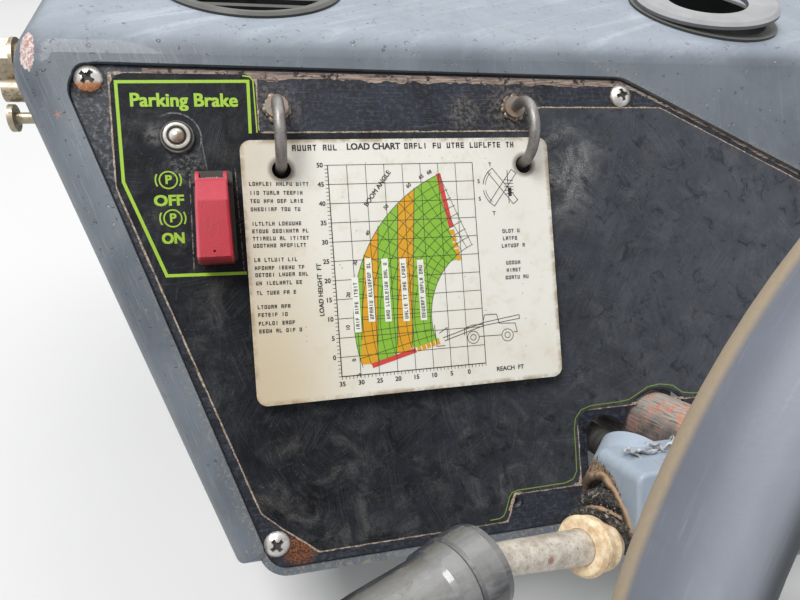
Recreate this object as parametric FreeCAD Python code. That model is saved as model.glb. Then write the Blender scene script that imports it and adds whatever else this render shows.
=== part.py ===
"""Telehandler dash console with its steering column.

X is to the operator's right, Y is forward and Z is up. The origin is the centre of the
bolt pattern on the back of the frame, where the console bolts to the cab's front wall.
Sizes are in millimetres and angles in degrees.
"""
import FreeCAD, Part
import math
import os
from FreeCAD import Placement, Rotation, Vector

# Dash face: where the column hole lies, and how the face and the column lean.
HOLE_BACK = 430.0
HOLE_RISE = 70.0
FACE_LEAN = 45.0
COLUMN_LEAN = 7.0

# Cowl: a hollow painted moulding, open at the back and below.
FACE_UP = 248.0
FACE_DOWN = 65.0
HALF_TOP = 384.0
HALF_BOTTOM = 273.0
WALL = 4.5
BORDER_RISE = 3.0
REAR_GAP = 10.0
BEND_R = 30.0
CORNER_R = 26.0
EDGE_R = 22.0
SILL_R = 12.0
SILL_RETURN = 36.0
SKIRT_RETURN = 22.0

# Face plate and its printed overlay, let into the cowl.
PLATE_T = 3.0
PLATE_CLEAR = 0.8
FLANGE_W = 22.0
FLANGE_T = 4.0
OVERLAY_T = 0.6
COLUMN_HOLE_R = 25.0
LOOM_HOLE_R = 13.0
LOOM_X = -39.0
LOOM_Y = -7.0

# Screws, lamp, guarded switch.
SCREW_HEAD_R = 7.25
SCREW_HEAD_H = 3.2
SCREW_R = 3.0
SCREW_HOLE_R = 3.5
SCREW_LENGTH = 10.0
LAMP_X = -283.9
LAMP_Y = 191.0
LAMP_R = 8.75
GUARD_X = -267.0
GUARD_PIN_Y = 164.0
GUARD_PIN_Z = 10.0
GUARD_PIN_R = 1.5
GUARD_WALL = 1.6
GUARD_LUG_R = 3.2
GUARD_HALF_BACK = 8.0
GUARD_HALF_FRONT = 9.0
GUARD_RIDGE = 11.3
GUARD_END = 43.5
GUARD_BEVEL = 2.6

# Load chart card on its two hoops.
CARD_W = 181.0
CARD_H = 145.3
CARD_T = 3.0
CARD_X = -161.0
CARD_Y = 114.15
CARD_LIFT = 6.5
CARD_HOLE_R = 5.2
CARD_HANG = 1.5
CARD_CORNER_R = 6.0
HOOP_X = (-229.9, -86.4)
HOOP_Y = 189.75
HOOP_R = 17.75
HOOP_LEG = 10.0
HOOP_ROD_R = 3.175

# Steering column, measured along its own axis from the dash face.
JACKET_R = 21.5
JACKET_BORE_R = 17.5
JACKET_TOP = 150.0
BRACKET_DEPTH = 100.0
BRACKET_T = 10.0
BRACKET_HALF = 52.0
SHAFT_R = 9.5
SHAFT_RUNNING_GAP = 0.05
HOUSING_LOW = 78.0
HOUSING_HIGH = 112.0
HOUSING_LEFT = -92.0
HOUSING_RIGHT = 34.0
HOUSING_HALF = 26.0
HOUSING_STEP = -4.0
WHEEL_HEIGHT = 238.0
RIM_CENTRE_R = 179.4
RIM_R = 12.8
HUB_LOW = 172.0
HUB_HIGH = 206.0
HUB_R = 27.0
SPOKE_ANGLES = (30.0, 150.0, 270.0)
SPOKE_T = 5.0

# The lever's line on the dash face: x, y up the slope, height above the face.
LEVER_ROOT = Vector(-82.0, -9.0, 82.0)
LEVER_COLLAR = Vector(-99.0, -23.5, 92.0)
LEVER_STEM = Vector(-115.0, -20.8, 100.3)
LEVER_GRIP = Vector(-164.6, -11.4, 118.6)
LEVER_END = Vector(-250.0, -24.0, 162.0)
BOOT_R = 17.0
BOOT_LENGTH = (LEVER_COLLAR - LEVER_ROOT).Length
STEM_R = 7.8

# Frame behind the cowl.
MOUNT_W = 300.0
MOUNT_H = 150.0
MOUNT_T = 8.0
MOUNT_BOLT_X = 240.0
MOUNT_BOLT_Z = 100.0
MOUNT_HOLE_R = 6.5
SIDE_PLATE_X = 76.0
SIDE_PLATE_T = 8.0
CROSS_TUBE = 30.0
CROSS_TUBE_T = 3.0
CROSS_Y = -230.0
CROSS_Z = 200.0
SEAT = 0.3

# Fasteners through the cowl's side walls: y, z, and the shank's radius.
SIDE_BOLT = (-230.0, 218.0, 5.0)
SIDE_SCREW = (-248.0, 209.0, 3.0)
SIDE_STUD = (-258.0, 197.5, 3.1)
SIDE_HOLE_GAP = 0.2

# The plate's outline on the dash face: x to the right of the column hole, y up the
# slope, and the corner's radius.
PLATE_CORNERS = (
    (-341.4, 230.5, 14.0),
    (-12.0, 226.0, 20.0),
    (292.0, 81.5, 12.0),
    (248.5, -51.0, 12.0),
    (-248.5, -51.0, 12.0),
)
OVERLAY_CORNERS = (
    (-316.5, 226.0, 8.0),
    (-240.8, 226.0, 6.0),
    (-241.0, 193.0, 3.0),
    (-71.0, 193.0, 3.0),
    (-71.0, 207.5, 3.0),
    (16.0, 207.5, 6.0),
    (283.5, 80.5, 8.0),
    (248.0, -28.8, 6.0),
    (58.4, -28.8, 8.0),
    (58.4, 17.5, 12.0),
    (-58.4, 17.5, 12.0),
    (-58.4, -28.8, 8.0),
    (-102.6, -28.8, 6.0),
    (-109.0, -44.6, 4.0),
    (-222.9, -44.8, 3.0),
    (-230.9, -38.1, 1.0),
    (-242.5, -28.9, 2.0),
    (-253.4, -18.9, 2.0),
    (-316.5, 165.0, 6.0),
)
# Screws that hold the plate: x, y on the face. The fourth hole has lost its screw.
PLATE_SCREWS = ((-327.0, 223.0), (-12.0, 215.5), (-246.4, -37.4), (272.0, 75.0), (237.0, -38.0))
LOST_SCREW = (-101.0, -35.0)
# Instruments finished from the type: x, y on the face, and radius.
GAUGES = (("gauge_fuel", 180.0, 193.0, 30.0), ("gauge_temperature", 262.0, 166.0, 30.0))
KEY_X = 118.0
KEY_Y = 60.0
ROCKERS_X = (165.0, 195.0, 225.0)
ROCKERS_Y = 60.0
ROCKER_W = 21.0
ROCKER_H = 36.0
# Round air vents in the top: name, x, y behind the bulkhead plane, radius.
VENT_LEFT = (-238.0, -175.0, 59.0)
VENT_RIGHT = (88.0, -194.0, 55.0)
VENT_LIFT = 6.0

FACE = Placement(Vector(0, -HOLE_BACK, HOLE_RISE), Rotation(Vector(1, 0, 0), FACE_LEAN))
COLUMN = Placement(
    Vector(0, -HOLE_BACK, HOLE_RISE), Rotation(Vector(1, 0, 0), FACE_LEAN + COLUMN_LEAN)
)
SIN = math.sin(math.radians(FACE_LEAN))
COS = math.cos(math.radians(FACE_LEAN))
TOP_Z = HOLE_RISE + FACE_UP * SIN + BORDER_RISE * COS
SILL_Z = HOLE_RISE - FACE_DOWN * SIN + BORDER_RISE * COS
SIDE_SLOPE = (HALF_TOP - HALF_BOTTOM) / (TOP_Z - SILL_Z)
SIDE_LEAN = math.degrees(math.atan(SIDE_SLOPE))


def placed(shape, placement):
    moved = shape.copy()
    moved.Placement = placement.multiply(moved.Placement)
    return moved


def rounded_wire(corners):
    """Closed wire in the XY plane through corners given as x, y, radius."""
    points = [Vector(x, y, 0) for x, y, _ in corners]
    count = len(points)
    ends = []
    arcs = []
    for i, (_, _, radius) in enumerate(corners):
        here = points[i]
        back = (points[i - 1] - here).normalize()
        ahead = (points[(i + 1) % count] - here).normalize()
        half = back.getAngle(ahead) / 2
        reach = radius / math.tan(half)
        start = here + back * reach
        end = here + ahead * reach
        bisector = (back + ahead).normalize()
        middle = here + bisector * (radius / math.sin(half) - radius)
        ends.append((start, end))
        arcs.append(Part.Arc(start, middle, end).toShape())
    edges = []
    for i in range(count):
        edges.append(arcs[i])
        start = ends[i][1]
        end = ends[(i + 1) % count][0]
        if (end - start).Length > 1e-6:
            edges.append(Part.LineSegment(start, end).toShape())
    return Part.Wire(edges)


def slab(wire, low, high):
    face = Part.Face(wire)
    face.translate(Vector(0, 0, low))
    return face.extrude(Vector(0, 0, high - low))


def grown(corners, distance):
    return rounded_wire(corners).makeOffset2D(distance)


def box(x0, x1, y0, y1, z0, z1):
    return Part.makeBox(x1 - x0, y1 - y0, z1 - z0, Vector(x0, y0, z0))


def rod(x, y, radius, low, high):
    return Part.makeCylinder(radius, high - low, Vector(x, y, low))


def rounded_box(x0, x1, y0, y1, z0, z1, radius):
    corners = ((x0, y0, radius), (x1, y0, radius), (x1, y1, radius), (x0, y1, radius))
    return slab(rounded_wire(corners), z0, z1)


def turned(profile):
    """Solid of revolution about Z from radius, height pairs."""
    points = [Vector(r, 0, z) for r, z in profile]
    wire = Part.makePolygon(points + [points[0]])
    return Part.Face(wire).revolve(Vector(0, 0, 0), Vector(0, 0, 1), 360)


def along(start, end):
    """Placement with Z from one point towards another."""
    return Placement(start, Rotation(Vector(0, 0, 1), end - start))


def save(name, shape):
    solids = shape.Solids
    if len(solids) == 1:
        shape = solids[0]
    shape.exportStep("parts/" + name + ".step")
    print(name, "solids", len(solids), "valid", shape.isValid(), "cm3", round(shape.Volume / 1000, 2))


def cowl_wedge(inset, back, below):
    """The cowl's closed form moved inwards, and lengthened at its open sides."""
    top = TOP_Z - inset
    bottom = SILL_Z + inset
    rise = BORDER_RISE - inset

    def face_y(z):
        along_slope = (z - HOLE_RISE - rise * COS) / SIN
        return -HOLE_BACK + along_slope * COS - rise * SIN

    rear = -REAR_GAP + back
    side_view = [
        Vector(0, face_y(top), top),
        Vector(0, rear, top),
        Vector(0, rear, bottom - below),
        Vector(0, face_y(bottom) + below, bottom - below),
        Vector(0, face_y(bottom), bottom),
    ]
    if below == 0:
        del side_view[3]
        side_view[2] = Vector(0, rear, bottom)
    reach = HALF_TOP + 100
    profile = Part.Face(Part.makePolygon(side_view + [side_view[0]]))
    profile.translate(Vector(-reach, 0, 0))
    body = profile.extrude(Vector(2 * reach, 0, 0))
    spare = 60.0
    step_in = inset / math.cos(math.radians(SIDE_LEAN))
    high = HALF_TOP + spare * SIDE_SLOPE - step_in
    low = HALF_BOTTOM - spare * SIDE_SLOPE - step_in
    front_view = [
        Vector(-high, 0, TOP_Z + spare),
        Vector(high, 0, TOP_Z + spare),
        Vector(low, 0, SILL_Z - spare),
        Vector(-low, 0, SILL_Z - spare),
    ]
    outline = Part.Face(Part.makePolygon(front_view + [front_view[0]]))
    outline.translate(Vector(0, -HOLE_BACK - FACE_DOWN - 100, 0))
    return body.common(outline.extrude(Vector(0, HOLE_BACK + FACE_DOWN + 200, 0)))


def rounded_cowl(inset, back):
    """The wedge with its bend, corners, side edges and sill rounded."""
    body = cowl_wedge(inset, back, 0)
    top = TOP_Z - inset
    bottom = SILL_Z + inset
    rear = -REAR_GAP + back
    radii = []
    for index, edge in enumerate(body.Edges, 1):
        first, last = (vertex.Point for vertex in edge.Vertexes)
        middle = (first + last) * 0.5
        direction = (last - first).normalize()
        at_rear = abs(middle.y - rear) < 1e-3
        if at_rear:
            continue
        radius = None
        if abs(direction.x) > 0.99:
            radius = BEND_R if abs(middle.z - top) < 1e-3 else SILL_R
        elif abs(direction.y) > 0.99:
            radius = CORNER_R if abs(middle.z - top) < 1e-3 else None
        else:
            radius = EDGE_R
        if radius:
            radii.append((index, radius - inset, radius - inset))
    document = FreeCAD.newDocument()
    base = document.addObject("Part::Feature", "base")
    base.Shape = body
    fillet = document.addObject("Part::Fillet", "rounded")
    fillet.Base = base
    fillet.Edges = radii
    document.recompute()
    shape = fillet.Shape.copy()
    FreeCAD.closeDocument(document.Name)
    return shape


def side_place(side, y, z):
    """Placement where a level line leaves a cowl side, Z outwards. Side is -1 on the left."""
    half = HALF_BOTTOM + (z - SILL_Z) * SIDE_SLOPE
    return Placement(Vector(side * half, y, z), Rotation(Vector(0, 0, 1), Vector(side, 0, 0)))


def side_rods(side, spare):
    """Round cutters for the shanks of one side's fasteners."""
    fasteners = (SIDE_BOLT, SIDE_SCREW, SIDE_STUD)
    return [placed(rod(0, 0, r + spare, -20, 10), side_place(side, y, z)) for y, z, r in fasteners]


def dash_shell():
    shell = rounded_cowl(0.0, 0.0).cut(rounded_cowl(WALL, 60.0))
    pan = slab(grown(PLATE_CORNERS, PLATE_CLEAR + FLANGE_T), -PLATE_T - FLANGE_T, BORDER_RISE - WALL / 2)
    shell = shell.fuse(placed(pan, FACE)).removeSplitter()
    pocket = slab(grown(PLATE_CORNERS, PLATE_CLEAR), -PLATE_T, BORDER_RISE + 20)
    window = slab(grown(PLATE_CORNERS, -FLANGE_W), -40, 20)
    shell = shell.cut(placed(pocket.fuse(window), FACE))
    cuts = []
    for x, y in PLATE_SCREWS + (LOST_SCREW,):
        cuts.append(placed(rod(x, y, SCREW_R + 0.05, -20, 5), FACE))
        cuts.append(placed(rod(x, y, SCREW_HEAD_R + 0.3, 0, 20), FACE))
    for _, x, y, radius in GAUGES:
        cuts.append(placed(rod(x, y, radius - 3.5, -20, 20), FACE))
    for x, y, radius in (VENT_LEFT, VENT_RIGHT):
        cuts.append(rod(x, y, radius - 6.0, TOP_Z - 40, TOP_Z + 10))
    for side in (-1, 1):
        cuts += side_rods(side, SIDE_HOLE_GAP)
    open_bottom = box(
        -HALF_BOTTOM + SKIRT_RETURN,
        HALF_BOTTOM - SKIRT_RETURN,
        -HOLE_BACK - FACE_DOWN * COS + SILL_RETURN,
        50,
        SILL_Z - 20,
        SILL_Z + WALL + 5,
    )
    cuts.append(open_bottom)
    return shell.cut(cuts)


def face_holes():
    """Everything that passes through the plate and the overlay."""
    holes = [rod(0, 0, COLUMN_HOLE_R, -30, 30)]
    holes.append(
        rounded_box(
            LOOM_X - LOOM_HOLE_R,
            LOOM_X + LOOM_HOLE_R,
            LOOM_Y - 2 * LOOM_HOLE_R,
            LOOM_Y + 1.5 * LOOM_HOLE_R,
            -30,
            30,
            LOOM_HOLE_R - 0.1,
        )
    )
    holes.append(box(LOOM_X, 0, LOOM_Y - LOOM_HOLE_R, LOOM_Y + LOOM_HOLE_R, -30, 30))
    holes.append(rod(LAMP_X, LAMP_Y, LAMP_R - 3, -30, 30))
    holes.append(rod(GUARD_X, GUARD_PIN_Y - 20, 6.1, -30, 30))
    holes.append(rod(KEY_X, KEY_Y, 11.1, -30, 30))
    for x in ROCKERS_X:
        holes.append(
            box(
                x - ROCKER_W / 2 - 0.1,
                x + ROCKER_W / 2 + 0.1,
                ROCKERS_Y - ROCKER_H / 2 - 0.1,
                ROCKERS_Y + ROCKER_H / 2 + 0.1,
                -30,
                30,
            )
        )
    return holes


def face_plate():
    plate = slab(rounded_wire(PLATE_CORNERS), -PLATE_T, 0).cut(face_holes())
    holes = [rod(x, y, SCREW_HOLE_R, -30, 30) for x, y in PLATE_SCREWS + (LOST_SCREW,)]
    return placed(plate.cut(holes), FACE)


def legend_overlay():
    film = slab(rounded_wire(OVERLAY_CORNERS), 0, OVERLAY_T).cut(face_holes())
    clear = [rod(x, y, SCREW_HEAD_R + 0.3, -5, 5) for x, y in PLATE_SCREWS]
    clear.append(rod(*LOST_SCREW, SCREW_HEAD_R, -5, 5))
    clear.append(rod(0, 0, COLUMN_HOLE_R + 1.3, -5, 5))
    return placed(film.cut(clear), FACE)


def truss_screw(x, y):
    """Domed head seated on the plate, with its shank into the cowl's flange."""
    ball_r = (SCREW_HEAD_R ** 2 + SCREW_HEAD_H ** 2) / (2 * SCREW_HEAD_H)
    dome = Part.makeSphere(ball_r, Vector(x, y, SCREW_HEAD_H - ball_r))
    dome = dome.common(rod(x, y, SCREW_HEAD_R + 1, 0, SCREW_HEAD_H))
    return dome.fuse(rod(x, y, SCREW_R, -SCREW_LENGTH, 0.5)).removeSplitter()


def plate_screws():
    return placed(Part.makeCompound([truss_screw(x, y) for x, y in PLATE_SCREWS]), FACE)


def lamp_bezel():
    ring = turned(((4.6, 0), (LAMP_R, 0), (LAMP_R, 2.2), (LAMP_R - 1.4, 4.4), (5.8, 5.0), (4.6, 4.2)))
    body = turned(((2.5, -22), (LAMP_R - 3.2, -22), (LAMP_R - 3.2, 0.4), (4.6, 0.4), (4.6, 0), (2.5, -4)))
    whole = ring.fuse(body).removeSplitter()
    whole.translate(Vector(LAMP_X, LAMP_Y, OVERLAY_T))
    return placed(whole, FACE)


def lamp_lens():
    dome = Part.makeSphere(5.2, Vector(0, 0, 1.0)).common(rod(0, 0, 4.55, 0.02, 8))
    dome.translate(Vector(LAMP_X, LAMP_Y, OVERLAY_T))
    return placed(dome, FACE)


def guard_base():
    """Footing, two lugs with the hinge pin, and the switch's threaded bushing."""
    low = OVERLAY_T
    x = GUARD_X
    y = GUARD_PIN_Y
    z = GUARD_PIN_Z
    reach = GUARD_LUG_R
    across = Vector(1, 0, 0)
    foot = rounded_box(x - 10.5, x + 10.5, y - 42, y + 8, low, low + 2.4, 2.0)
    parts = []
    for side in (-1, 1):
        inner = x + side * 4.6 - 1.2
        parts.append(box(inner, inner + 2.4, y - reach, y + reach, low + 1, z))
        parts.append(Part.makeCylinder(reach, 2.4, Vector(inner, y, z), across))
    parts.append(Part.makeCylinder(GUARD_PIN_R, 20.4, Vector(x - 10.2, y, z), across))
    parts.append(rod(x, y - 20, 5.0, -12, low + 4))
    parts.append(rounded_box(x - 8, x + 8, y - 34, y - 6, -38, -PLATE_T - SEAT, 1.5))
    return placed(foot.fuse(parts).removeSplitter(), FACE)


def toggle_lever():
    """Small bat lever that stands in the bushing under the cover."""
    bat = turned(((0, 0), (1.8, 0), (2.4, 7), (2.2, 8.4), (1.4, 9.2), (0, 9.5)))
    bat.rotate(Vector(0, 0, 0), Vector(1, 0, 0), 12)
    bat.translate(Vector(GUARD_X, GUARD_PIN_Y - 20, OVERLAY_T + 4.4 + SEAT))
    return placed(bat, FACE)


def guard_profile(offset, drop):
    """Side view of the cover about its pin: y towards the hinge end, then height."""
    knuckle = 6.0 - offset
    free_end = -GUARD_END + offset
    bevel = free_end + GUARD_BEVEL
    roof = (
        (knuckle, 0.0),
        (0.0, knuckle),
        (-GUARD_RIDGE, 11.6 - offset),
        (bevel, 15.0 - offset),
        (free_end, 11.0 - offset),
        (free_end, -6.0 - drop),
    )
    points = [Vector(0, y, z) for y, z in roof]
    middle = Vector(0, knuckle * 0.7071, knuckle * 0.7071)
    arc = Part.Arc(points[0], middle, points[1]).toShape()
    low = -6.0 - drop
    rest = points[1:] + [Vector(0, 0, low)]
    edges = [arc] + [Part.LineSegment(a, b).toShape() for a, b in zip(rest, rest[1:])]
    if drop == 0:
        under = Part.Arc(rest[-1], Vector(0, 6 * 0.7071, -6 * 0.7071), points[0]).toShape()
        edges.append(under)
    else:
        corner = Vector(0, points[0].y, low)
        edges.append(Part.LineSegment(rest[-1], corner).toShape())
        edges.append(Part.LineSegment(corner, points[0]).toShape())
    return Part.Face(Part.Wire(edges))


def guard_block(offset, drop):
    """The cover's form as a block, moved inwards by the wall."""
    block = guard_profile(offset, drop)
    block.translate(Vector(-12, 0, 0))
    block = block.extrude(Vector(24, 0, 0))
    back = GUARD_HALF_BACK - offset
    front = GUARD_HALF_FRONT - offset
    end = -GUARD_END - 1
    plan = ((back, 7.0), (front, end), (-front, end), (-back, 7.0), (back, 7.0))
    sides = Part.Face(Part.makePolygon([Vector(x, y, -20) for x, y in plan]))
    return block.common(sides.extrude(Vector(0, 0, 60)))


def guard_cover():
    """Hollow flip-up lid, a little wider and taller at its free end."""
    outside = guard_block(0, 0)
    roof_edges = []
    for edge in outside.Edges:
        middle = edge.valueAt((edge.FirstParameter + edge.LastParameter) / 2)
        if middle.z > 8 and abs(middle.x) > 5 and middle.y < -2:
            roof_edges.append(edge)
    lid = outside.makeFillet(1.3, roof_edges).cut(guard_block(GUARD_WALL, 10))
    slot = box(-6.2, 6.2, 1.5, 10, -20, 20)
    pin_hole = Part.makeCylinder(GUARD_PIN_R + 0.05, 30, Vector(-15, 0, 0), Vector(1, 0, 0))
    wire_hole = rod(0, -38.0, 0.6, 0, 30)
    lid = lid.cut([slot, pin_hole, wire_hole])
    lid.translate(Vector(GUARD_X, GUARD_PIN_Y, GUARD_PIN_Z))
    return placed(lid, FACE)


def hoop(x):
    """Rod bent to a U, upside down and square to the face, with a welded foot."""
    far = Vector(x, HOOP_Y + HOOP_R, 0)
    near = Vector(x, HOOP_Y - HOOP_R, 0)
    lift = Vector(0, 0, HOOP_LEG)
    top = Vector(x, HOOP_Y, HOOP_LEG + HOOP_R)
    leg = Part.LineSegment(far, far + lift).toShape()
    bend = Part.Arc(far + lift, top, near + lift).toShape()
    end = Part.LineSegment(near + lift, near + Vector(0, 0, 1)).toShape()
    circle = Part.Wire(Part.makeCircle(HOOP_ROD_R, far, Vector(0, 0, 1)))
    bar = Part.Wire([leg, bend, end]).makePipeShell([circle], True, True)
    foot = rod(x, HOOP_Y + HOOP_R, 6.5, 0, 3.5)
    return bar.fuse(foot).removeSplitter()


def chart_hoops():
    return placed(Part.makeCompound([hoop(x) for x in HOOP_X]), FACE)


def chart_card():
    low = CARD_LIFT
    card = rounded_box(
        CARD_X - CARD_W / 2,
        CARD_X + CARD_W / 2,
        CARD_Y - CARD_H / 2,
        CARD_Y + CARD_H / 2,
        low,
        low + CARD_T,
        CARD_CORNER_R,
    )
    hole_y = HOOP_Y - HOOP_R - CARD_HANG
    holes = [rod(x, hole_y, CARD_HOLE_R, -5, 20) for x in HOOP_X]
    return placed(card.cut(holes), FACE)


def gauge_body(x, y, radius):
    """Round instrument: a rolled bezel on the face and a can behind it."""
    profile = (
        (0, -32),
        (radius - 4, -32),
        (radius - 4, 0),
        (radius, 0),
        (radius, 2.5),
        (radius - 1.5, 4),
        (radius - 4, 4.5),
        (radius - 5, 3),
        (radius - 5, 1),
        (0, 1),
    )
    body = turned(profile)
    body.translate(Vector(x, y, BORDER_RISE))
    return placed(body, FACE)


def gauge_glass():
    panes = [rod(x, y, radius - 5.1, BORDER_RISE + 1.6, BORDER_RISE + 2.8) for _, x, y, radius in GAUGES]
    return placed(Part.makeCompound(panes), FACE)


def key_switch():
    body = rod(KEY_X, KEY_Y, 11, -36, OVERLAY_T)
    ring = turned(((0, 0), (16, 0), (16, 2), (13.5, 4.5), (9, 5), (9, 4), (0, 4)))
    ring.translate(Vector(KEY_X, KEY_Y, OVERLAY_T))
    key = box(KEY_X - 1.2, KEY_X + 1.2, KEY_Y - 4, KEY_Y + 4, OVERLAY_T + 3, OVERLAY_T + 14)
    bow = Part.makeCylinder(9, 2.4, Vector(KEY_X - 1.2, KEY_Y, OVERLAY_T + 20), Vector(1, 0, 0))
    eye = Part.makeCylinder(3, 4, Vector(KEY_X - 2, KEY_Y, OVERLAY_T + 24), Vector(1, 0, 0))
    return placed(body.fuse([ring, key, bow]).cut(eye).removeSplitter(), FACE)


def rocker(x):
    """Rocker switch: a thin frame on the face, a body behind and a rocking cap."""
    w = ROCKER_W / 2
    h = ROCKER_H / 2
    low = ROCKERS_Y - h
    high = ROCKERS_Y + h
    frame = box(x - w - 1.8, x + w + 1.8, low - 2.2, high + 2.2, OVERLAY_T, OVERLAY_T + 2)
    body = box(x - w, x + w, low, high, -26, OVERLAY_T + 1)
    wedge = [
        Vector(x - w + 1, low + 1.5, OVERLAY_T),
        Vector(x - w + 1, high - 1.5, OVERLAY_T),
        Vector(x - w + 1, high - 1.5, OVERLAY_T + 8),
        Vector(x - w + 1, ROCKERS_Y, OVERLAY_T + 4),
        Vector(x - w + 1, low + 1.5, OVERLAY_T + 3),
    ]
    cap = Part.Face(Part.makePolygon(wedge + [wedge[0]])).extrude(Vector(ROCKER_W - 2, 0, 0))
    return frame.fuse([body, cap]).removeSplitter()


def rocker_switches():
    return placed(Part.makeCompound([rocker(x) for x in ROCKERS_X]), FACE)


def vent_left():
    """Flush round vent: a ring, a dished core and parallel louvre blades."""
    x, y, radius = VENT_LEFT
    ring = turned(
        (
            (radius - 6.3, -24),
            (radius - 6.3, 0),
            (radius, 0),
            (radius, 1.5),
            (radius - 2, 3),
            (radius - 9, 1.5),
            (radius - 9, -24),
        )
    )
    blades = []
    count = 6
    pitch = 2 * (radius - 9) / (count + 1)
    for i in range(count):
        offset = -radius + 9 + pitch * (i + 1)
        half = math.sqrt((radius - 8.5) ** 2 - offset ** 2)
        blade = box(-half, half, -1, 1, -9, 9)
        blade.rotate(Vector(0, 0, 0), Vector(1, 0, 0), 35)
        blade.translate(Vector(0, offset, -11))
        blades.append(blade.common(rod(0, 0, radius - 8, -30, 10)))
    spine = box(-2, 2, -radius + 9, radius - 9, -20, -12)
    whole = ring.fuse(blades + [spine]).removeSplitter()
    whole.translate(Vector(x, y, TOP_Z))
    return whole


def vent_collar():
    """Seat of the right vent, which has lost its louvres."""
    x, y, radius = VENT_RIGHT
    collar = turned(
        (
            (radius - 6.3, -26),
            (radius - 6.3, 0),
            (radius - 1, 0),
            (radius - 1, 1.6),
            (radius - 9, 1.6),
            (radius - 9, -26),
        )
    )
    collar.translate(Vector(x, y, TOP_Z))
    return collar


def vent_flange():
    """Loose flange of the right vent, resting on its collar and lifted at one side."""
    x, y, radius = VENT_RIGHT
    outer = radius - 4
    inner = radius - 26
    flange = turned(((inner, 0), (outer, 0), (outer, 2.2), (outer - 3, 4), (inner, 3)))
    flange.rotate(Vector(-outer, 0, 0), Vector(0, 1, 0), -VENT_LIFT)
    flange.translate(Vector(x, y, TOP_Z + 1.6 + SEAT))
    return flange


def hexagon(radius, low, high):
    points = [
        Vector(radius * math.cos(math.radians(60 * i)), radius * math.sin(math.radians(60 * i)), low)
        for i in range(7)
    ]
    return Part.Face(Part.makePolygon(points)).extrude(Vector(0, 0, high - low))


def side_fasteners():
    """Bolt, cap screw and stud on each side, into the cross tube's tabs."""
    cowl = rounded_cowl(0.0, 0.0)
    end = -WALL - 9
    parts = []
    for side in (-1, 1):
        bolt = rod(0, 0, 10, -16, 2).fuse([rod(0, 0, 13, 2, 4), hexagon(12.8, 4, 14), rod(0, 0, 9, 14, 17)])
        screw = rod(0, 0, 5.5, -12, 3).fuse(rod(0, 0, 6.2, 3, 13))
        stud = rod(0, 0, 5, -12, 3).fuse([rod(0, 0, 3.1, 3, 15), rod(0, 0, 7.5, 14, 17)])
        for head, (y, z, radius) in ((bolt, SIDE_BOLT), (screw, SIDE_SCREW), (stud, SIDE_STUD)):
            seat = side_place(side, y, z)
            outside = placed(head.removeSplitter(), seat).cut(cowl)
            shank = placed(rod(0, 0, radius, end, 4), seat)
            parts.append(outside.fuse(shank).removeSplitter())
    return Part.makeCompound(parts)


def mount_plate():
    """Back plate of the frame, its rear face on the cab's front wall."""
    corners = []
    for x, z in ((-1, -1), (1, -1), (1, 1), (-1, 1)):
        corners.append((x * MOUNT_W / 2, z * MOUNT_H / 2, 12.0))
    plate = slab(rounded_wire(corners), 0, MOUNT_T)
    for x in (-MOUNT_BOLT_X / 2, MOUNT_BOLT_X / 2):
        for z in (-MOUNT_BOLT_Z / 2, MOUNT_BOLT_Z / 2):
            plate = plate.cut(rod(x, z, MOUNT_HOLE_R, -5, MOUNT_T + 5))
    plate = plate.cut(rounded_box(-45, 45, -35, 35, -5, MOUNT_T + 5, 10))
    return placed(plate, Placement(Vector(0, 0, 0), Rotation(Vector(1, 0, 0), 90)))


def bracket_point(up):
    """A point of the column bracket's upper face, by its distance up the slope."""
    return COLUMN.multVec(Vector(0, up, -BRACKET_DEPTH))


def frame_side(side):
    """Plate from the back plate to the column bracket and up to the cross tube."""
    low = bracket_point(-BRACKET_HALF)
    high = bracket_point(BRACKET_HALF)
    back = -MOUNT_T - SEAT
    half_tube = CROSS_TUBE / 2
    neck = CROSS_Z - half_tube - SEAT
    corners = (
        (back, MOUNT_H / 2 - 6, 0.5),
        (back, -MOUNT_H / 2 + 6, 0.5),
        (low.y + 60, low.z - 8, 20.0),
        (low.y, low.z, 4.0),
        (high.y, high.z, 6.0),
        (CROSS_Y - half_tube, neck - 40, 20.0),
        (CROSS_Y - half_tube, neck, 0.5),
        (CROSS_Y + half_tube, neck, 0.5),
        (CROSS_Y + half_tube + 4, neck - 60, 25.0),
    )
    profile = rounded_wire(corners)
    window = rounded_wire(
        (
            (back - 60, MOUNT_H / 2 - 36, 15.0),
            (back - 60, -MOUNT_H / 2 + 36, 15.0),
            (low.y + 110, low.z + 16, 15.0),
            (high.y + 50, high.z - 4, 15.0),
        )
    )
    plate = slab(profile, 0, SIDE_PLATE_T).cut(slab(window, -5, SIDE_PLATE_T + 5))
    turn = Placement(Vector(0, 0, 0), Rotation(Vector(1, 1, 1), 120))
    plate = placed(plate, turn)
    inner = SIDE_PLATE_X if side > 0 else -SIDE_PLATE_X - SIDE_PLATE_T
    plate.translate(Vector(inner, 0, 0))
    return plate


def column_bracket():
    """Cross plate between the frame sides, square to the column, with the valve's bolts."""
    half = SIDE_PLATE_X - SEAT
    low = -BRACKET_DEPTH - BRACKET_T
    end = BRACKET_HALF - 2
    plate = rounded_box(-half, half, -end, end, low, -BRACKET_DEPTH, 3.0)
    plate = plate.cut(rod(0, 0, SHAFT_R + 2, low - 5, 0))
    return placed(plate, COLUMN)


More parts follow.
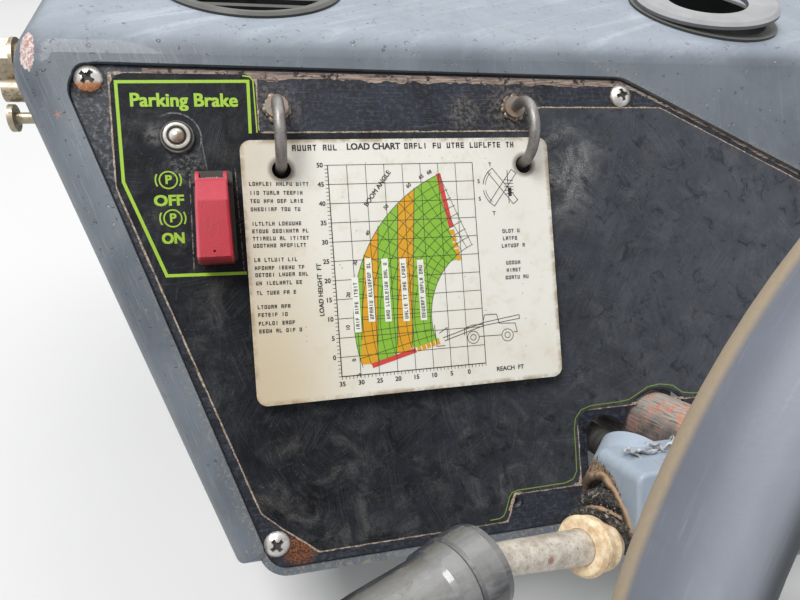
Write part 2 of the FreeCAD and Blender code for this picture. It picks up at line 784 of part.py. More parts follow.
def cross_tube(shell):
    """Square tube across the cowl with a tab against each side wall."""
    half = CROSS_TUBE / 2
    long_tube = box(-HALF_TOP, HALF_TOP, CROSS_Y - half, CROSS_Y + half, CROSS_Z - half, CROSS_Z + half)
    bore = box(
        -HALF_TOP,
        HALF_TOP,
        CROSS_Y - half + CROSS_TUBE_T,
        CROSS_Y + half - CROSS_TUBE_T,
        CROSS_Z - half + CROSS_TUBE_T,
        CROSS_Z + half - CROSS_TUBE_T,
    )
    room = rounded_cowl(WALL + 0.05, 60.0)
    tube = long_tube.cut(bore).common(room)
    tab_room = room.cut(rounded_cowl(WALL + 4.0, 120.0))
    tabs = []
    holes = []
    for side in (-1, 1):
        x0 = min(side * HALF_TOP * 0.6, side * HALF_TOP)
        tab = box(x0, x0 + HALF_TOP * 0.4, CROSS_Y - 42, CROSS_Y + 22, CROSS_Z - 34, CROSS_Z + 32)
        tabs.append(tab.common(tab_room))
        holes += side_rods(side, 0.05)
    whole = tube.fuse(tabs).cut(holes).cut(shell)
    return max(whole.Solids, key=lambda solid: solid.Volume)


def column_jacket():
    """Tube round the steering shaft, with a bearing bush at each end."""
    low = -BRACKET_DEPTH
    bore = SHAFT_R + SHAFT_RUNNING_GAP
    tube = rod(0, 0, JACKET_R, low, JACKET_TOP)
    tube = tube.cut(rod(0, 0, JACKET_BORE_R, low - 1, JACKET_TOP + 1))
    bushes = []
    for z in (low, JACKET_TOP - 16):
        bushes.append(rod(0, 0, JACKET_BORE_R + 1, z, z + 16).cut(rod(0, 0, bore, z - 1, z + 17)))
    wide = JACKET_R + 8
    foot = turned(((JACKET_R - 1, low), (wide, low), (wide, low + 4), (JACKET_R - 1, low + 12)))
    return placed(tube.fuse(bushes + [foot]).removeSplitter(), COLUMN)


def steering_valve():
    """Hydraulic steering unit under the bracket: flange block, ring and end cap."""
    top = -BRACKET_DEPTH - BRACKET_T
    block = rounded_box(-38, 38, -38, 38, top - 64, top, 8)
    ring = rod(0, 0, 41, top - 98, top - 64)
    cap = rod(0, 0, 38, top - 110, top - 98)
    ports = []
    for x in (-18, 18):
        for z in (top - 20, top - 46):
            ports.append(Part.makeCylinder(11, 14, Vector(x, 30, z), Vector(0, 1, 0)))
    bolts = []
    for i in range(6):
        angle = math.radians(60 * i)
        head = hexagon(6, top - 116, top - 109)
        head.translate(Vector(30 * math.cos(angle), 30 * math.sin(angle), 0))
        bolts.append(head)
    return placed(block.fuse([ring, cap] + ports + bolts).removeSplitter(), COLUMN)


def lever_seat():
    """Where the boot starts, with Z along it."""
    return FACE.multiply(along(LEVER_ROOT, LEVER_COLLAR))


def switch_housing():
    """Column switch box clamped round the jacket, with the lever's mouth at its left."""
    half = HOUSING_HALF
    corners = (
        (HOUSING_LEFT, HOUSING_STEP, 3.0),
        (-HOUSING_RIGHT, HOUSING_STEP, 5.0),
        (-HOUSING_RIGHT, -half, 5.0),
        (HOUSING_RIGHT, -half, 5.0),
        (HOUSING_RIGHT, half, 5.0),
        (HOUSING_LEFT, half, 5.0),
    )
    body = slab(rounded_wire(corners), HOUSING_LOW, HOUSING_HIGH)
    rims = [e for e in body.Edges if abs(e.BoundBox.ZMin - e.BoundBox.ZMax) < 1e-6]
    body = body.makeFillet(2.0, rims)
    jacket = rod(0, 0, JACKET_R + 0.1, HOUSING_LOW - 5, HOUSING_HIGH + 5)
    body = placed(body.cut(jacket), COLUMN)
    inner = BOOT_R - 2
    outer = BOOT_R + 1.5
    lip = turned(((inner, -26), (outer, -26), (outer, 0), (outer - 1, 1), (inner, 1)))
    body = body.fuse(placed(lip, lever_seat())).removeSplitter()
    mouth = placed(rod(0, 0, inner, -2, 40), lever_seat())
    return body.cut(mouth)


def gland_seat():
    """Where the gland starts, with Z along it."""
    return FACE.multiply(along(LEVER_COLLAR, LEVER_STEM))


def lever_boot():
    """Rubber bellows from the housing's mouth, cut square to the gland it meets."""
    inner = STEM_R + 0.3
    profile = [(inner, 0), (BOOT_R - 2.2, 0)]
    rings = 3
    pitch = BOOT_LENGTH / rings
    for i in range(rings):
        radius = BOOT_R - 2.2 - 1.6 * i
        low = pitch * i
        profile += [(radius, low + 0.3 * pitch), (radius, low + 0.6 * pitch)]
        profile.append((radius - 2.6, low + 0.8 * pitch))
    end = BOOT_LENGTH + 12
    profile += [(BOOT_R - 6, BOOT_LENGTH - SEAT), (BOOT_R - 6, end), (inner, end)]
    boot = placed(turned(profile), lever_seat())
    return boot.cut(placed(rod(0, 0, 40, -SEAT, 40), gland_seat()))


def lever_stem():
    """Bent stem: core through the boot, then the bare arm to the grip."""
    core = placed(rod(0, 0, 6.0, 4, BOOT_LENGTH), along(LEVER_ROOT, LEVER_COLLAR))
    joint = Part.makeSphere(STEM_R, LEVER_COLLAR)
    neck = rod(0, 0, STEM_R, 0, (LEVER_STEM - LEVER_COLLAR).Length)
    neck = placed(neck, along(LEVER_COLLAR, LEVER_STEM))
    knuckle = Part.makeSphere(STEM_R, LEVER_STEM)
    length = (LEVER_GRIP - LEVER_STEM).Length
    arm = Part.makeCone(STEM_R, 6.4, length)
    arm = placed(arm, along(LEVER_STEM, LEVER_GRIP))
    elbow = Part.makeSphere(6.4, LEVER_GRIP)
    tang = placed(rod(0, 0, 6.0, 0, 24), along(LEVER_GRIP, LEVER_END))
    return placed(core.fuse([joint, neck, knuckle, arm, elbow, tang]).removeSplitter(), FACE)


def lever_collar():
    """Grooved gland on the stem beside the boot."""
    length = (LEVER_STEM - LEVER_COLLAR).Length - 0.5
    bore = STEM_R + 0.2
    profile = (
        (bore, 0),
        (11.5, 0),
        (12.8, 0.25 * length),
        (11.4, 0.4 * length),
        (12.6, 0.5 * length),
        (12.6, 0.68 * length),
        (11.2, 0.76 * length),
        (13.4, 0.88 * length),
        (12.0, length),
        (bore, length),
    )
    return placed(turned(profile), gland_seat())


def lever_grip():
    """Handle with a rounded collar, a ring groove and a domed end."""
    length = (LEVER_END - LEVER_GRIP).Length
    profile = (
        (6.1, 2),
        (14.0, 2),
        (17.2, 4.5),
        (18.0, 8),
        (18.0, 19),
        (16.8, 20.2),
        (17.6, 21.4),
        (17.2, 29),
        (16.0, 31),
        (16.4, 0.6 * length),
        (15.4, length - 10),
        (12.5, length - 3),
        (7.0, length),
        (0, length),
        (0, 24.5),
        (6.1, 24.5),
    )
    return placed(turned(profile), FACE.multiply(along(LEVER_GRIP, LEVER_END)))


def loom_conduit():
    """Corrugated loom tube beside the column, from the bracket to the switch housing."""
    low = -BRACKET_DEPTH + SEAT
    high = HOUSING_LOW - SEAT
    pitch = 6.0
    count = int((high - low) / pitch)
    step = (high - low) / count
    profile = [(6.0, low)]
    for i in range(count):
        base = low + step * i
        profile += [(8.0, base), (9.0, base + 0.3 * step), (9.0, base + 0.6 * step)]
    profile += [(8.0, high), (6.0, high)]
    tube = turned(profile)
    tube.translate(Vector(LOOM_X, LOOM_Y, 0))
    return placed(tube, COLUMN)


def steering_shaft():
    """Shaft in the jacket's bushes, with a shoulder under the wheel's hub."""
    low = -BRACKET_DEPTH + 2
    shaft = rod(0, 0, SHAFT_R, low, HUB_HIGH - 4)
    shoulder = rod(0, 0, SHAFT_R + 3, JACKET_TOP + 6, HUB_LOW)
    return placed(shaft.fuse(shoulder).removeSplitter(), COLUMN)


def wheel_rim():
    ring = Part.makeTorus(RIM_CENTRE_R, RIM_R, Vector(0, 0, WHEEL_HEIGHT))
    return placed(ring, COLUMN)


def spoke(angle):
    """Flat bar spoke that climbs from the hub to the rim."""
    root = Vector(HUB_R - 6, 0, (HUB_LOW + HUB_HIGH) / 2)
    shoulder = Vector(HUB_R + 18, 0, (HUB_LOW + HUB_HIGH) / 2)
    tip = Vector(RIM_CENTRE_R - RIM_R + 4, 0, WHEEL_HEIGHT)
    line = [root, shoulder, tip]
    lower = [p + Vector(0, 0, -SPOKE_T / 2) for p in line]
    upper = [p + Vector(0, 0, SPOKE_T / 2) for p in reversed(line)]
    points = lower + upper
    face = Part.Face(Part.makePolygon(points + [points[0]]))
    face.translate(Vector(0, -16, 0))
    bar = face.extrude(Vector(0, 32, 0))
    half_plan = ((0, 16, 0.5), (60, 13, 6.0), (RIM_CENTRE_R, 9, 0.5))
    plan = [(x, -y, r) for x, y, r in half_plan] + list(reversed(half_plan))
    bar = bar.common(slab(rounded_wire(plan), 0, WHEEL_HEIGHT + 50))
    bar.rotate(Vector(0, 0, 0), Vector(0, 0, 1), angle)
    return bar


def wheel_spokes():
    """Hub and three spokes, as one pressed and welded piece."""
    hub = turned(
        (
            (SHAFT_R, HUB_LOW),
            (HUB_R - 4, HUB_LOW),
            (HUB_R, HUB_LOW + 4),
            (HUB_R, HUB_HIGH - 3),
            (HUB_R - 3, HUB_HIGH),
            (SHAFT_R, HUB_HIGH),
        )
    )
    whole = hub.fuse([spoke(angle) for angle in SPOKE_ANGLES])
    whole = whole.cut(rod(0, 0, SHAFT_R, 0, HUB_HIGH + 20))
    whole = whole.cut(Part.makeTorus(RIM_CENTRE_R, RIM_R + 0.05, Vector(0, 0, WHEEL_HEIGHT)))
    return placed(whole.removeSplitter(), COLUMN)


def wheel_cap():
    """Domed cap over the hub's nut."""
    wide = HUB_R + 3
    profile = ((0, 0), (wide, 0), (wide, 3), (wide - 6, 8), (0, 10))
    cap = turned(profile)
    cap.translate(Vector(0, 0, HUB_HIGH))
    return placed(cap, COLUMN)


def main():
    os.makedirs("parts", exist_ok=True)
    shell = dash_shell()
    save("dash_shell", shell)
    save("face_plate", face_plate())
    save("legend_overlay", legend_overlay())
    save("plate_screws", plate_screws())
    save("lamp_bezel", lamp_bezel())
    save("lamp_lens", lamp_lens())
    save("guard_base", guard_base())
    save("toggle_lever", toggle_lever())
    save("guard_cover", guard_cover())
    save("chart_hoops", chart_hoops())
    save("chart_card", chart_card())
    for name, x, y, radius in GAUGES:
        save(name, gauge_body(x, y, radius))
    save("gauge_glass", gauge_glass())
    save("key_switch", key_switch())
    save("rocker_switches", rocker_switches())
    save("vent_left", vent_left())
    save("vent_collar", vent_collar())
    save("vent_flange", vent_flange())
    save("side_fasteners", side_fasteners())
    save("mount_plate", mount_plate())
    save("frame_side_left", frame_side(-1))
    save("frame_side_right", frame_side(1))
    save("column_bracket", column_bracket())
    save("cross_tube", cross_tube(shell))
    save("column_jacket", column_jacket())
    save("steering_valve", steering_valve())
    save("switch_housing", switch_housing())
    save("lever_boot", lever_boot())
    save("lever_collar", lever_collar())
    save("lever_stem", lever_stem())
    save("lever_grip", lever_grip())
    save("loom_conduit", loom_conduit())
    save("steering_shaft", steering_shaft())
    save("wheel_rim", wheel_rim())
    save("wheel_spokes", wheel_spokes())
    save("wheel_cap", wheel_cap())


main()
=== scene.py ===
"""Looks of the telehandler dash console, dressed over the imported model.

The scene is in metres, with X to the operator's right, Y forward and Z up. What is drawn
on the dash face is in millimetres: x to the right of the column hole, y up the slope and
the height above the face plate.
"""
import math
import random
from functools import reduce

import bmesh
import bpy
from mathutils import Matrix, Vector, noise


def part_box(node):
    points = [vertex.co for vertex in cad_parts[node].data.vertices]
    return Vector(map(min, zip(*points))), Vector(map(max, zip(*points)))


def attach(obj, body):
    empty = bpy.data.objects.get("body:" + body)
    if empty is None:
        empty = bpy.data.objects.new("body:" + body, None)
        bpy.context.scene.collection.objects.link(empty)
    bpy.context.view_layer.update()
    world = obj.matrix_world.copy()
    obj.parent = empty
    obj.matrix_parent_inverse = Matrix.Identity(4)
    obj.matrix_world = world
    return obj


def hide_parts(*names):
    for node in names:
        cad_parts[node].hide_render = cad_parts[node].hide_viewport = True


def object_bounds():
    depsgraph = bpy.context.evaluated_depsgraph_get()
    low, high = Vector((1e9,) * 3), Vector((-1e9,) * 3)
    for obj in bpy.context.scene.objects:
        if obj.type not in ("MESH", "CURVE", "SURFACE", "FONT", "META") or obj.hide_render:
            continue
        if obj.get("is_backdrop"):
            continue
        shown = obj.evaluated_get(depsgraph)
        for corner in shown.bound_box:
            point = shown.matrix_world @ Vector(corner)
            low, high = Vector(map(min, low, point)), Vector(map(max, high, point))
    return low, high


MM = 0.001

# Where the dash face, the cowl's band left of the plate and the column lie.
HOLE = Matrix.Translation((0.0, -0.430, 0.070))
FACE_TURN = Matrix.Rotation(math.radians(45), 4, "X")
FACE = HOLE @ FACE_TURN
BAND = FACE @ Matrix.Rotation(0.319, 4, "Z")
COLUMN = HOLE @ Matrix.Rotation(math.radians(52), 4, "X")
ROOM = Matrix()

# Heights of surfaces above the face plate, and the thickness of print.
FILM = 0.6
CARD = 9.5
DIAL = 4.15
INK = 0.05

# Screws and fittings on the face, and the corners that marks follow.
SCREW_HEAD_R = 7.25
SCREW_HEAD_H = 3.2
SCREW_SEAT = 0.4
SCREWS = ((-327.0, 223.0), (-12.0, 215.5), (-246.4, -37.4), (272.0, 75.0), (237.0, -38.0))
SCREW_TURNS = (0.9, 0.25, 0.6, 1.2, 0.1)
LAMP = (-283.9, 191.0)
GUARD_X = -267.0
GUARD_PIN = (164.0, 10.0)
SPRING_R = 2.7
SPRING_HALF = 2.7
WIRE_R = 0.5
HOOPS = ((-229.9, 207.5), (-86.4, 207.5))
CARD_HOLES = ((-229.9, 170.5), (-86.4, 170.5))
CARD_EDGES = (-251.5, -70.5, 41.5, 186.8)
PLATE_CORNERS = ((-341.4, 230.5), (-12.0, 226.0), (292.0, 81.5), (248.5, -51.0), (-248.5, -51.0))
FILM_CORNERS = (
    (-102.6, -28.8), (-109.0, -44.6), (-222.9, -44.8), (-230.9, -38.1), (-242.5, -28.9), (-253.4, -18.9),
    (-316.5, 165.0), (-316.5, 226.0), (-240.8, 226.0), (-241.0, 193.0), (-71.0, 193.0), (-71.0, 207.5),
    (16.0, 207.5), (283.5, 80.5), (248.0, -28.8), (58.4, -28.8), (58.4, 17.5), (-58.4, 17.5),
    (-58.4, -28.8),
)

# Where wear and dirt gather on the face, and the lip of the cowl above the plate.
CHIP = (-355.6, 238.0)
CHIP_HALF = (4.4, 11.0)
STAR = (-342.3, 203.2)
LIP_LEVEL = 226.0
LIP_FALL = 0.0137
TORN_CORNER = (-234.0, -42.0)
WORN_SPOTS = ((HOOPS[0], 7.0, 18.0), (HOOPS[1], 8.0, 24.0), ((-118.0, 205.0), 5.0, 15.0))
WIPE_CENTRES = ((30.0, 60.0), (-190.0, 30.0), (-90.0, -70.0), (150.0, 20.0), (-60.0, 130.0), (-300.0, 240.0))
GUARD_DUST = (-245.0, 98.0)
POWDER = (-56.0, 168.0)
LAMP_GLUE = (-295.0, 193.0)
LAMP_CRUST = (-281.0, 176.0)
STEM_CHIP = (-136.0, -17.0)

# The chart on the card: where 0 ft lies, millimetres to a foot, its limits in feet, and its fan.
REACH_ZERO = -129.8
HEIGHT_ZERO = 64.5
REACH_FOOT = 2.134
HEIGHT_FOOT = 2.156
REACH_MOST = 35
REACH_LEAST = -5
HEIGHT_MOST = 50
HEIGHT_LEAST = -5
FAN_CENTRE = (-105.5, 82.5)
FAN_OUTER = 90.3
FAN_INNER = 44.8
FAN_LOW = ((-192.9, 58.1), (-146.3, 70.1))
FAN_HIGH = ((-132.5, 114.8), (-141.9, 166.0))
BAND_EDGES = (
    ((-192.0, 73.3), (-187.5, 121.0)),
    ((-183.0, 69.7), (-178.2, 137.0)),
    ((-171.6, 68.7), (-165.9, 148.8)),
    ((-162.9, 68.0), (-155.5, 158.2)),
)
LABELS = ((-193.6, 93.2, 31), (-185.3, 101.1, 36), (-175.8, 100.5, 36), (-165.2, 99.9, 36), (-155.0, 99.2, 35))

# The lever on the dash face, the housing walls that it leaves, and the wheel on the column.
LEVER_ROOT = Vector((-82.0, -9.0, 82.0))
LEVER_COLLAR = Vector((-99.0, -23.5, 92.0))
LEVER_STEM_END = Vector((-115.0, -20.8, 100.3))
HOUSING_WALLS = (-92.0, -4.0)
WALL_FALL = (0.694, 0.538)
RIM_R = 179.4
RIM_TUBE = 12.8
RIM_HEIGHT = 238.0

# The photographer's place, as rows of a matrix, and the lamps: place, aim, size and power.
CAMERA = (
    (0.97375, 0.06805, -0.21719, -0.2430),
    (-0.20229, 0.69615, -0.68881, -0.6068),
    (0.10433, 0.71467, 0.69165, 0.3811),
    (0, 0, 0, 1),
)
LAMPS = {
    "key": ((-1.0, -0.5, 2.1), (0.0, -0.35, 0.1), 0.9, 42.0),
    "sky": ((0.5, 0.9, 1.8), (0.0, -0.3, 0.1), 1.8, 16.0),
    "fill": ((1.4, -1.6, 0.9), (0.1, -0.4, 0.1), 1.5, 5.0),
}


# Places and measures.


def face(x, y, height=0.0):
    """Point in the room of a point on the dash face in millimetres."""
    return FACE @ Vector((x * MM, y * MM, height * MM))


def around(centre, radius, angle):
    """Point at a radius and an angle from a centre."""
    return centre[0] + radius * math.cos(angle), centre[1] + radius * math.sin(angle)


def part_way(start, end, part):
    """Point between two others, at start for 0 and at end for 1."""
    return start[0] + (end[0] - start[0]) * part, start[1] + (end[1] - start[1]) * part


def away(x, y, spot):
    """Distance of x and y from a spot on the face."""
    return ((x - spot[0]) ** 2 + (y - spot[1]) ** 2) ** 0.5


def near(x, y, spot, inner, outer):
    """1 within inner millimetres of a spot on the face and 0 past outer."""
    return away(x, y, spot).rise(outer, inner)


def beside(x, y, start, end):
    """Distance to the left of the line from start to end on the face."""
    run = math.dist(start, end)
    east = (end[0] - start[0]) / run
    north = (end[1] - start[1]) / run
    return (y - start[1]) * east - (x - start[0]) * north


def tone(colour):
    """Linear colour from the three 0 to 255 values that a screen shows."""
    linear = []
    for value in colour:
        share = value / 255
        linear.append(share / 12.92 if share < 0.04045 else ((share + 0.055) / 1.055) ** 2.4)
    return (*linear, 1.0)


# Nodes and materials in short.


class Number:
    """A shader value that sums like a float: each operation adds one Math node."""

    def __init__(self, tree, socket):
        self.tree = tree
        self.socket = socket

    def __add__(self, other):
        return self.tree.math("ADD", self, other)

    def __radd__(self, other):
        return self.tree.math("ADD", other, self)

    def __sub__(self, other):
        return self.tree.math("SUBTRACT", self, other)

    def __rsub__(self, other):
        return self.tree.math("SUBTRACT", other, self)

    def __mul__(self, other):
        return self.tree.math("MULTIPLY", self, other)

    def __rmul__(self, other):
        return self.tree.math("MULTIPLY", other, self)

    def __truediv__(self, other):
        return self.tree.math("DIVIDE", self, other)

    def __pow__(self, other):
        return self.tree.math("POWER", self, other)

    def __abs__(self):
        return self.tree.math("ABSOLUTE", self)

    def least(self, other):
        return self.tree.math("MINIMUM", self, other)

    def most(self, other):
        return self.tree.math("MAXIMUM", self, other)

    def rise(self, low, high):
        """0 below low and 1 above high, or the other way round when low is the larger."""
        values = {"Value": self, "From Min": low, "From Max": high}
        node = self.tree.add("ShaderNodeMapRange", {"interpolation_type": "SMOOTHSTEP"}, values)
        return Number(self.tree, node.outputs[0])


class Tree:
    """Short ways to add nodes to a node tree."""

    def __init__(self, tree):
        self.tree = tree

    def put(self, socket, value):
        """Link a socket to what another node gives, or set it to a plain value."""
        if isinstance(value, Number):
            value = value.socket
        if isinstance(value, bpy.types.NodeSocket):
            self.tree.links.new(value, socket)
        else:
            socket.default_value = value

    def add(self, kind, settings, values):
        node = self.tree.nodes.new(kind)
        for name, setting in settings.items():
            setattr(node, name, setting)
        for name, value in values.items():
            self.put(node.inputs[name], value)
        return node

    def math(self, operation, *values):
        node = self.add("ShaderNodeMath", {"operation": operation}, dict(enumerate(values)))
        return Number(self, node.outputs[0])


class Shade(Tree):
    """One material on a Principled surface. Its colour is a ground with layers laid over it."""

    def __init__(self, name, base=ROOM):
        self.material = bpy.data.materials.new(name)
        self.material.use_nodes = True
        super().__init__(self.material.node_tree)
        self.surface = self.tree.nodes["Principled BSDF"]
        self.spot = self.place(base)

    def place(self, base, stretch=(1, 1, 1)):
        """Object coordinates in millimetres of a base, divided by a stretch."""
        values = {
            "Vector": self.add("ShaderNodeTexCoord", {}, {}).outputs["Object"],
            "Location": base.to_translation(),
            "Rotation": base.to_euler(),
            "Scale": [MM * factor for factor in stretch],
        }
        return self.add("ShaderNodeMapping", {"vector_type": "TEXTURE"}, values).outputs["Vector"]

    def axes(self, vector=None):
        """Three numbers of a vector, or of the material's own spot."""
        vector = self.spot if vector is None else vector
        node = self.add("ShaderNodeSeparateXYZ", {}, {"Vector": vector})
        return [Number(self, output) for output in node.outputs]

    def vector(self, x, y, z):
        return self.add("ShaderNodeCombineXYZ", {}, {"X": x, "Y": y, "Z": z}).outputs["Vector"]

    def up(self):
        """How much the surface looks upwards, from -1 to 1."""
        return self.axes(self.add("ShaderNodeNewGeometry", {}, {}).outputs["Normal"])[2]

    def noise(self, size, detail=4.0, rough=0.55, warp=0.0, at=None):
        """Soft noise of a size in millimetres, at the material's own spot unless another is given."""
        vector = self.spot if at is None else at
        values = {"Vector": vector, "Scale": 1 / size, "Detail": detail, "Roughness": rough, "Distortion": warp}
        return Number(self, self.add("ShaderNodeTexNoise", {}, values).outputs[0])

    def cells(self, size, feature="F1", at=None):
        """Distance from the middle of a cell, or from its edge."""
        values = {"Vector": self.spot if at is None else at, "Scale": 1 / size}
        return Number(self, self.add("ShaderNodeTexVoronoi", {"feature": feature}, values).outputs["Distance"])

    def specks(self, size, share):
        """Small round specks in about that share of cells of a size."""
        return self.cells(size).rise(share, share * 0.6) * self.noise(size * 4, 1.0).rise(0.5, 0.62)

    def cuts(self, size, width, at=None):
        """Short hooked nicks, one or none to a cell of a size."""
        bent = self.noise(size * 0.6, 2.0, at=at)
        ring = abs(self.cells(size, at=at) - 0.22 + (bent - 0.5) * 0.3).rise(width, width * 0.3)
        return ring * self.noise(size * 0.9, 1.0, at=at).rise(0.6, 0.66)

    def streaks(self, base, direction, width, length):
        """Fine lines along one axis of a base: 0 for x, 1 for y, 2 for z."""
        stretch = [width, width, width]
        stretch[direction] = length
        return self.noise(1.0, 5.0, 0.65, at=self.place(base, stretch))

    def arcs(self, x, y, centre, width):
        """Wiping marks that curve round a centre on the face."""
        east = x - centre[0]
        north = y - centre[1]
        reach = (east * east + north * north) ** 0.5
        turn = self.math("ARCTAN2", north, east)
        return self.noise(1.0, 3.0, 0.7, at=self.vector(reach / width, turn * 2.2, 0.0))

    def mix(self, factor, first, second):
        """Blend of two colours, each from a node or as three 0 to 255 values."""
        first, second = [tone(colour) if isinstance(colour, tuple) else colour for colour in (first, second)]
        return self.add("ShaderNodeMix", {"data_type": "RGBA"}, {0: factor, 6: first, 7: second}).outputs[2]

    def ground(self, factor, first, second):
        """Start the colour as a blend of two."""
        self.colour = self.mix(factor, first, second)

    def lay(self, factor, colour):
        """Lay another colour over what is there, as thick as the factor says."""
        self.colour = self.mix(factor, self.colour, colour)

    def done(self, roughness, metallic=0.0, coat=0.0, bumps=None, depth=0.0, shine=0.5):
        """Finish the surface. The bumps go from 0 to 1, which stands for a depth in millimetres."""
        values = {"Base Color": self.colour, "Roughness": roughness, "Metallic": metallic, "Coat Weight": coat}
        values["Specular IOR Level"] = shine
        if bumps is not None:
            height = {"Height": bumps, "Distance": depth * MM, "Strength": 1.0}
            values["Normal"] = self.add("ShaderNodeBump", {}, height).outputs["Normal"]
        for name, value in values.items():
            self.put(self.surface.inputs[name], value)
        return self.material


# Materials of the cowl, plate and overlay.


def cowl_paint():
    """Satin slate paint: paler where it looks up from painted sky sheen with dust, chipped at the corner,
    scratched down the band, with nicks and dents whose glints and shade are painted.
    """
    shade = Shade("cowl_paint")
    flat = shade.place(FACE)
    x, y, height = shade.axes(flat)
    cloud = shade.noise(70, 5.0, 0.6, 0.6)
    grain = shade.noise(1.2, 3.0)
    mottle = shade.noise(7, 5.0, 0.7)
    # Upward faces are paler: painted sky sheen together with dust.
    sheen_and_dust_on_top = shade.up().rise(0.72, 1.0)
    shade.ground(cloud.rise(0.3, 0.7), (82, 89, 97), (106, 113, 121))
    shade.lay(sheen_and_dust_on_top * (0.45 + 0.5 * cloud), (158, 167, 178))
    wiped = shade.streaks(Matrix.Rotation(0.5, 4, "Z"), 0, 9.0, 130.0).rise(0.46, 0.74) * cloud.rise(0.3, 0.62)
    shade.lay(wiped * sheen_and_dust_on_top * 0.5, (192, 199, 206))
    down = shade.streaks(BAND, 1, 0.9, 34.0).rise(0.54, 0.76)
    shade.lay(down * 0.5 * x.rise(-220, -320), (168, 173, 178))
    shade.lay(shade.streaks(FACE, 1, 4.0, 60.0).rise(0.52, 0.74) * 0.3, (122, 128, 134))
    shade.lay(mottle.rise(0.58, 0.76) * 0.35, (58, 66, 76))
    fringe = cowl_fringe(shade, x, y)
    shade.lay(fringe * 0.65, (150, 138, 118))
    reach = ((((x - CHIP[0]) / CHIP_HALF[0]) ** 2 + ((y - CHIP[1]) / CHIP_HALF[1]) ** 2) ** 0.5)
    chip = (reach + (mottle - 0.5) * 1.2).rise(1.05, 0.9) * height.rise(-30, -22)
    crust = shade.noise(2.0, 5.0, 0.75).rise(0.42, 0.6)
    shade.lay(chip, shade.mix(crust, (214, 206, 202), (170, 122, 112)))
    shade.lay(star_stain(shade, x, y) * 0.75, (172, 122, 84))
    # Pale nicks: scratched paint whose pale colour is partly a painted highlight of small dents.
    nicks_and_glints = shade.cuts(4.4, 0.08)
    shade.lay(nicks_and_glints * 0.35, (190, 194, 198))
    # Dark pits: painted shade in small dents.
    dent_shade = shade.cuts(5.0, 0.07, flat)
    shade.lay(dent_shade * 0.6, (44, 50, 56))
    dull = 0.44 + 0.2 * cloud + 0.12 * sheen_and_dust_on_top + 0.2 * fringe
    return shade.done(dull, 0.0, 0.12, grain * 0.25 + mottle * 0.4 - 1.6 * nicks_and_glints - dent_shade - chip * 0.8, 0.3)


def cowl_fringe(shade, x, y):
    """Dried dirt on the cowl beside the plate's left end, its top and its right slope."""
    specks = shade.noise(2.2, 5.0, 0.75).rise(0.5, 0.62)
    left = beside(x, y, PLATE_CORNERS[4], PLATE_CORNERS[0]).rise(10.0, 1.0) * y.rise(150, 20)
    lip = y - LIP_LEVEL + (x - PLATE_CORNERS[0][0]) * LIP_FALL
    top = lip.rise(7.0, 0.5) * lip.rise(-1.5, 0.0) * x.rise(-200, -120) * x.rise(10, -10)
    slope = beside(x, y, PLATE_CORNERS[1], PLATE_CORNERS[2])
    return (left * specks).most(top.most(slope.rise(6.0, 0.5) * slope.rise(-1.5, 0.0)) * specks)


def star_stain(shade, x, y):
    """Rusty spot with short rays, beside the upper left screw."""
    east = x - STAR[0]
    north = y - STAR[1]
    reach = (east ** 2 + north ** 2) ** 0.5
    rays = abs(shade.math("SINE", shade.math("ARCTAN2", north, east) * 2.5)).rise(0.84, 0.98)
    return reach.rise(1.3, 0.7).most(rays * reach.rise(3.2, 1.6) * 0.8)


def plate_paint():
    """Dark satin plate: streaked, mottled at its left end, rusty where the overlay is torn."""
    shade = Shade("plate_paint", FACE)
    x, y = shade.axes()[:2]
    cloud = shade.noise(26, 5.0, 0.66, 1.0)
    crumb = shade.noise(3.0, 5.0, 0.74)
    fine = shade.noise(1.1, 5.0, 0.75)
    left = x.rise(-296, -322)
    shade.ground(cloud.rise(0.3, 0.7), (10, 12, 20), (34, 38, 50))
    shade.lay(shade.streaks(FACE, 0, 0.9, 22.0).rise(0.52, 0.74) * 0.5, (92, 98, 112))
    shade.lay(crumb.rise(0.48, 0.64) * (0.2 + 0.5 * left), (112, 114, 118))
    shade.lay(fine.rise(0.60, 0.70) * (0.25 + 0.5 * left), (168, 166, 162))
    patchy = crumb.rise(0.44, 0.56)
    rust = reduce(Number.most, [near(x, y + 1.6, spot, 6.2, 11.0) * patchy for spot in SCREWS])
    shade.lay(rust * 0.85, shade.mix(fine.rise(0.5, 0.6), (34, 28, 28), (120, 92, 72)))
    torn = near(x, y, TORN_CORNER, 5.0, 12.0) * crumb.rise(0.34, 0.48)
    shade.lay(torn * 0.95, shade.mix(fine.rise(0.42, 0.62), (66, 38, 28), (158, 98, 62)))
    worn = reduce(Number.most, [near(x, y, *spot) for spot in WORN_SPOTS])
    shade.lay(worn * crumb.rise(0.40, 0.66) * 0.6, (122, 114, 106))
    shade.lay(worn * fine.rise(0.60, 0.68) * 0.7, (186, 180, 170))
    dull = 0.34 + 0.4 * rust.most(torn) + 0.2 * cloud + 0.2 * worn
    return shade.done(dull, 0.0, 0.0, crumb * 0.4 + rust * 0.6 + torn * fine + worn * fine, 0.4, 0.3)


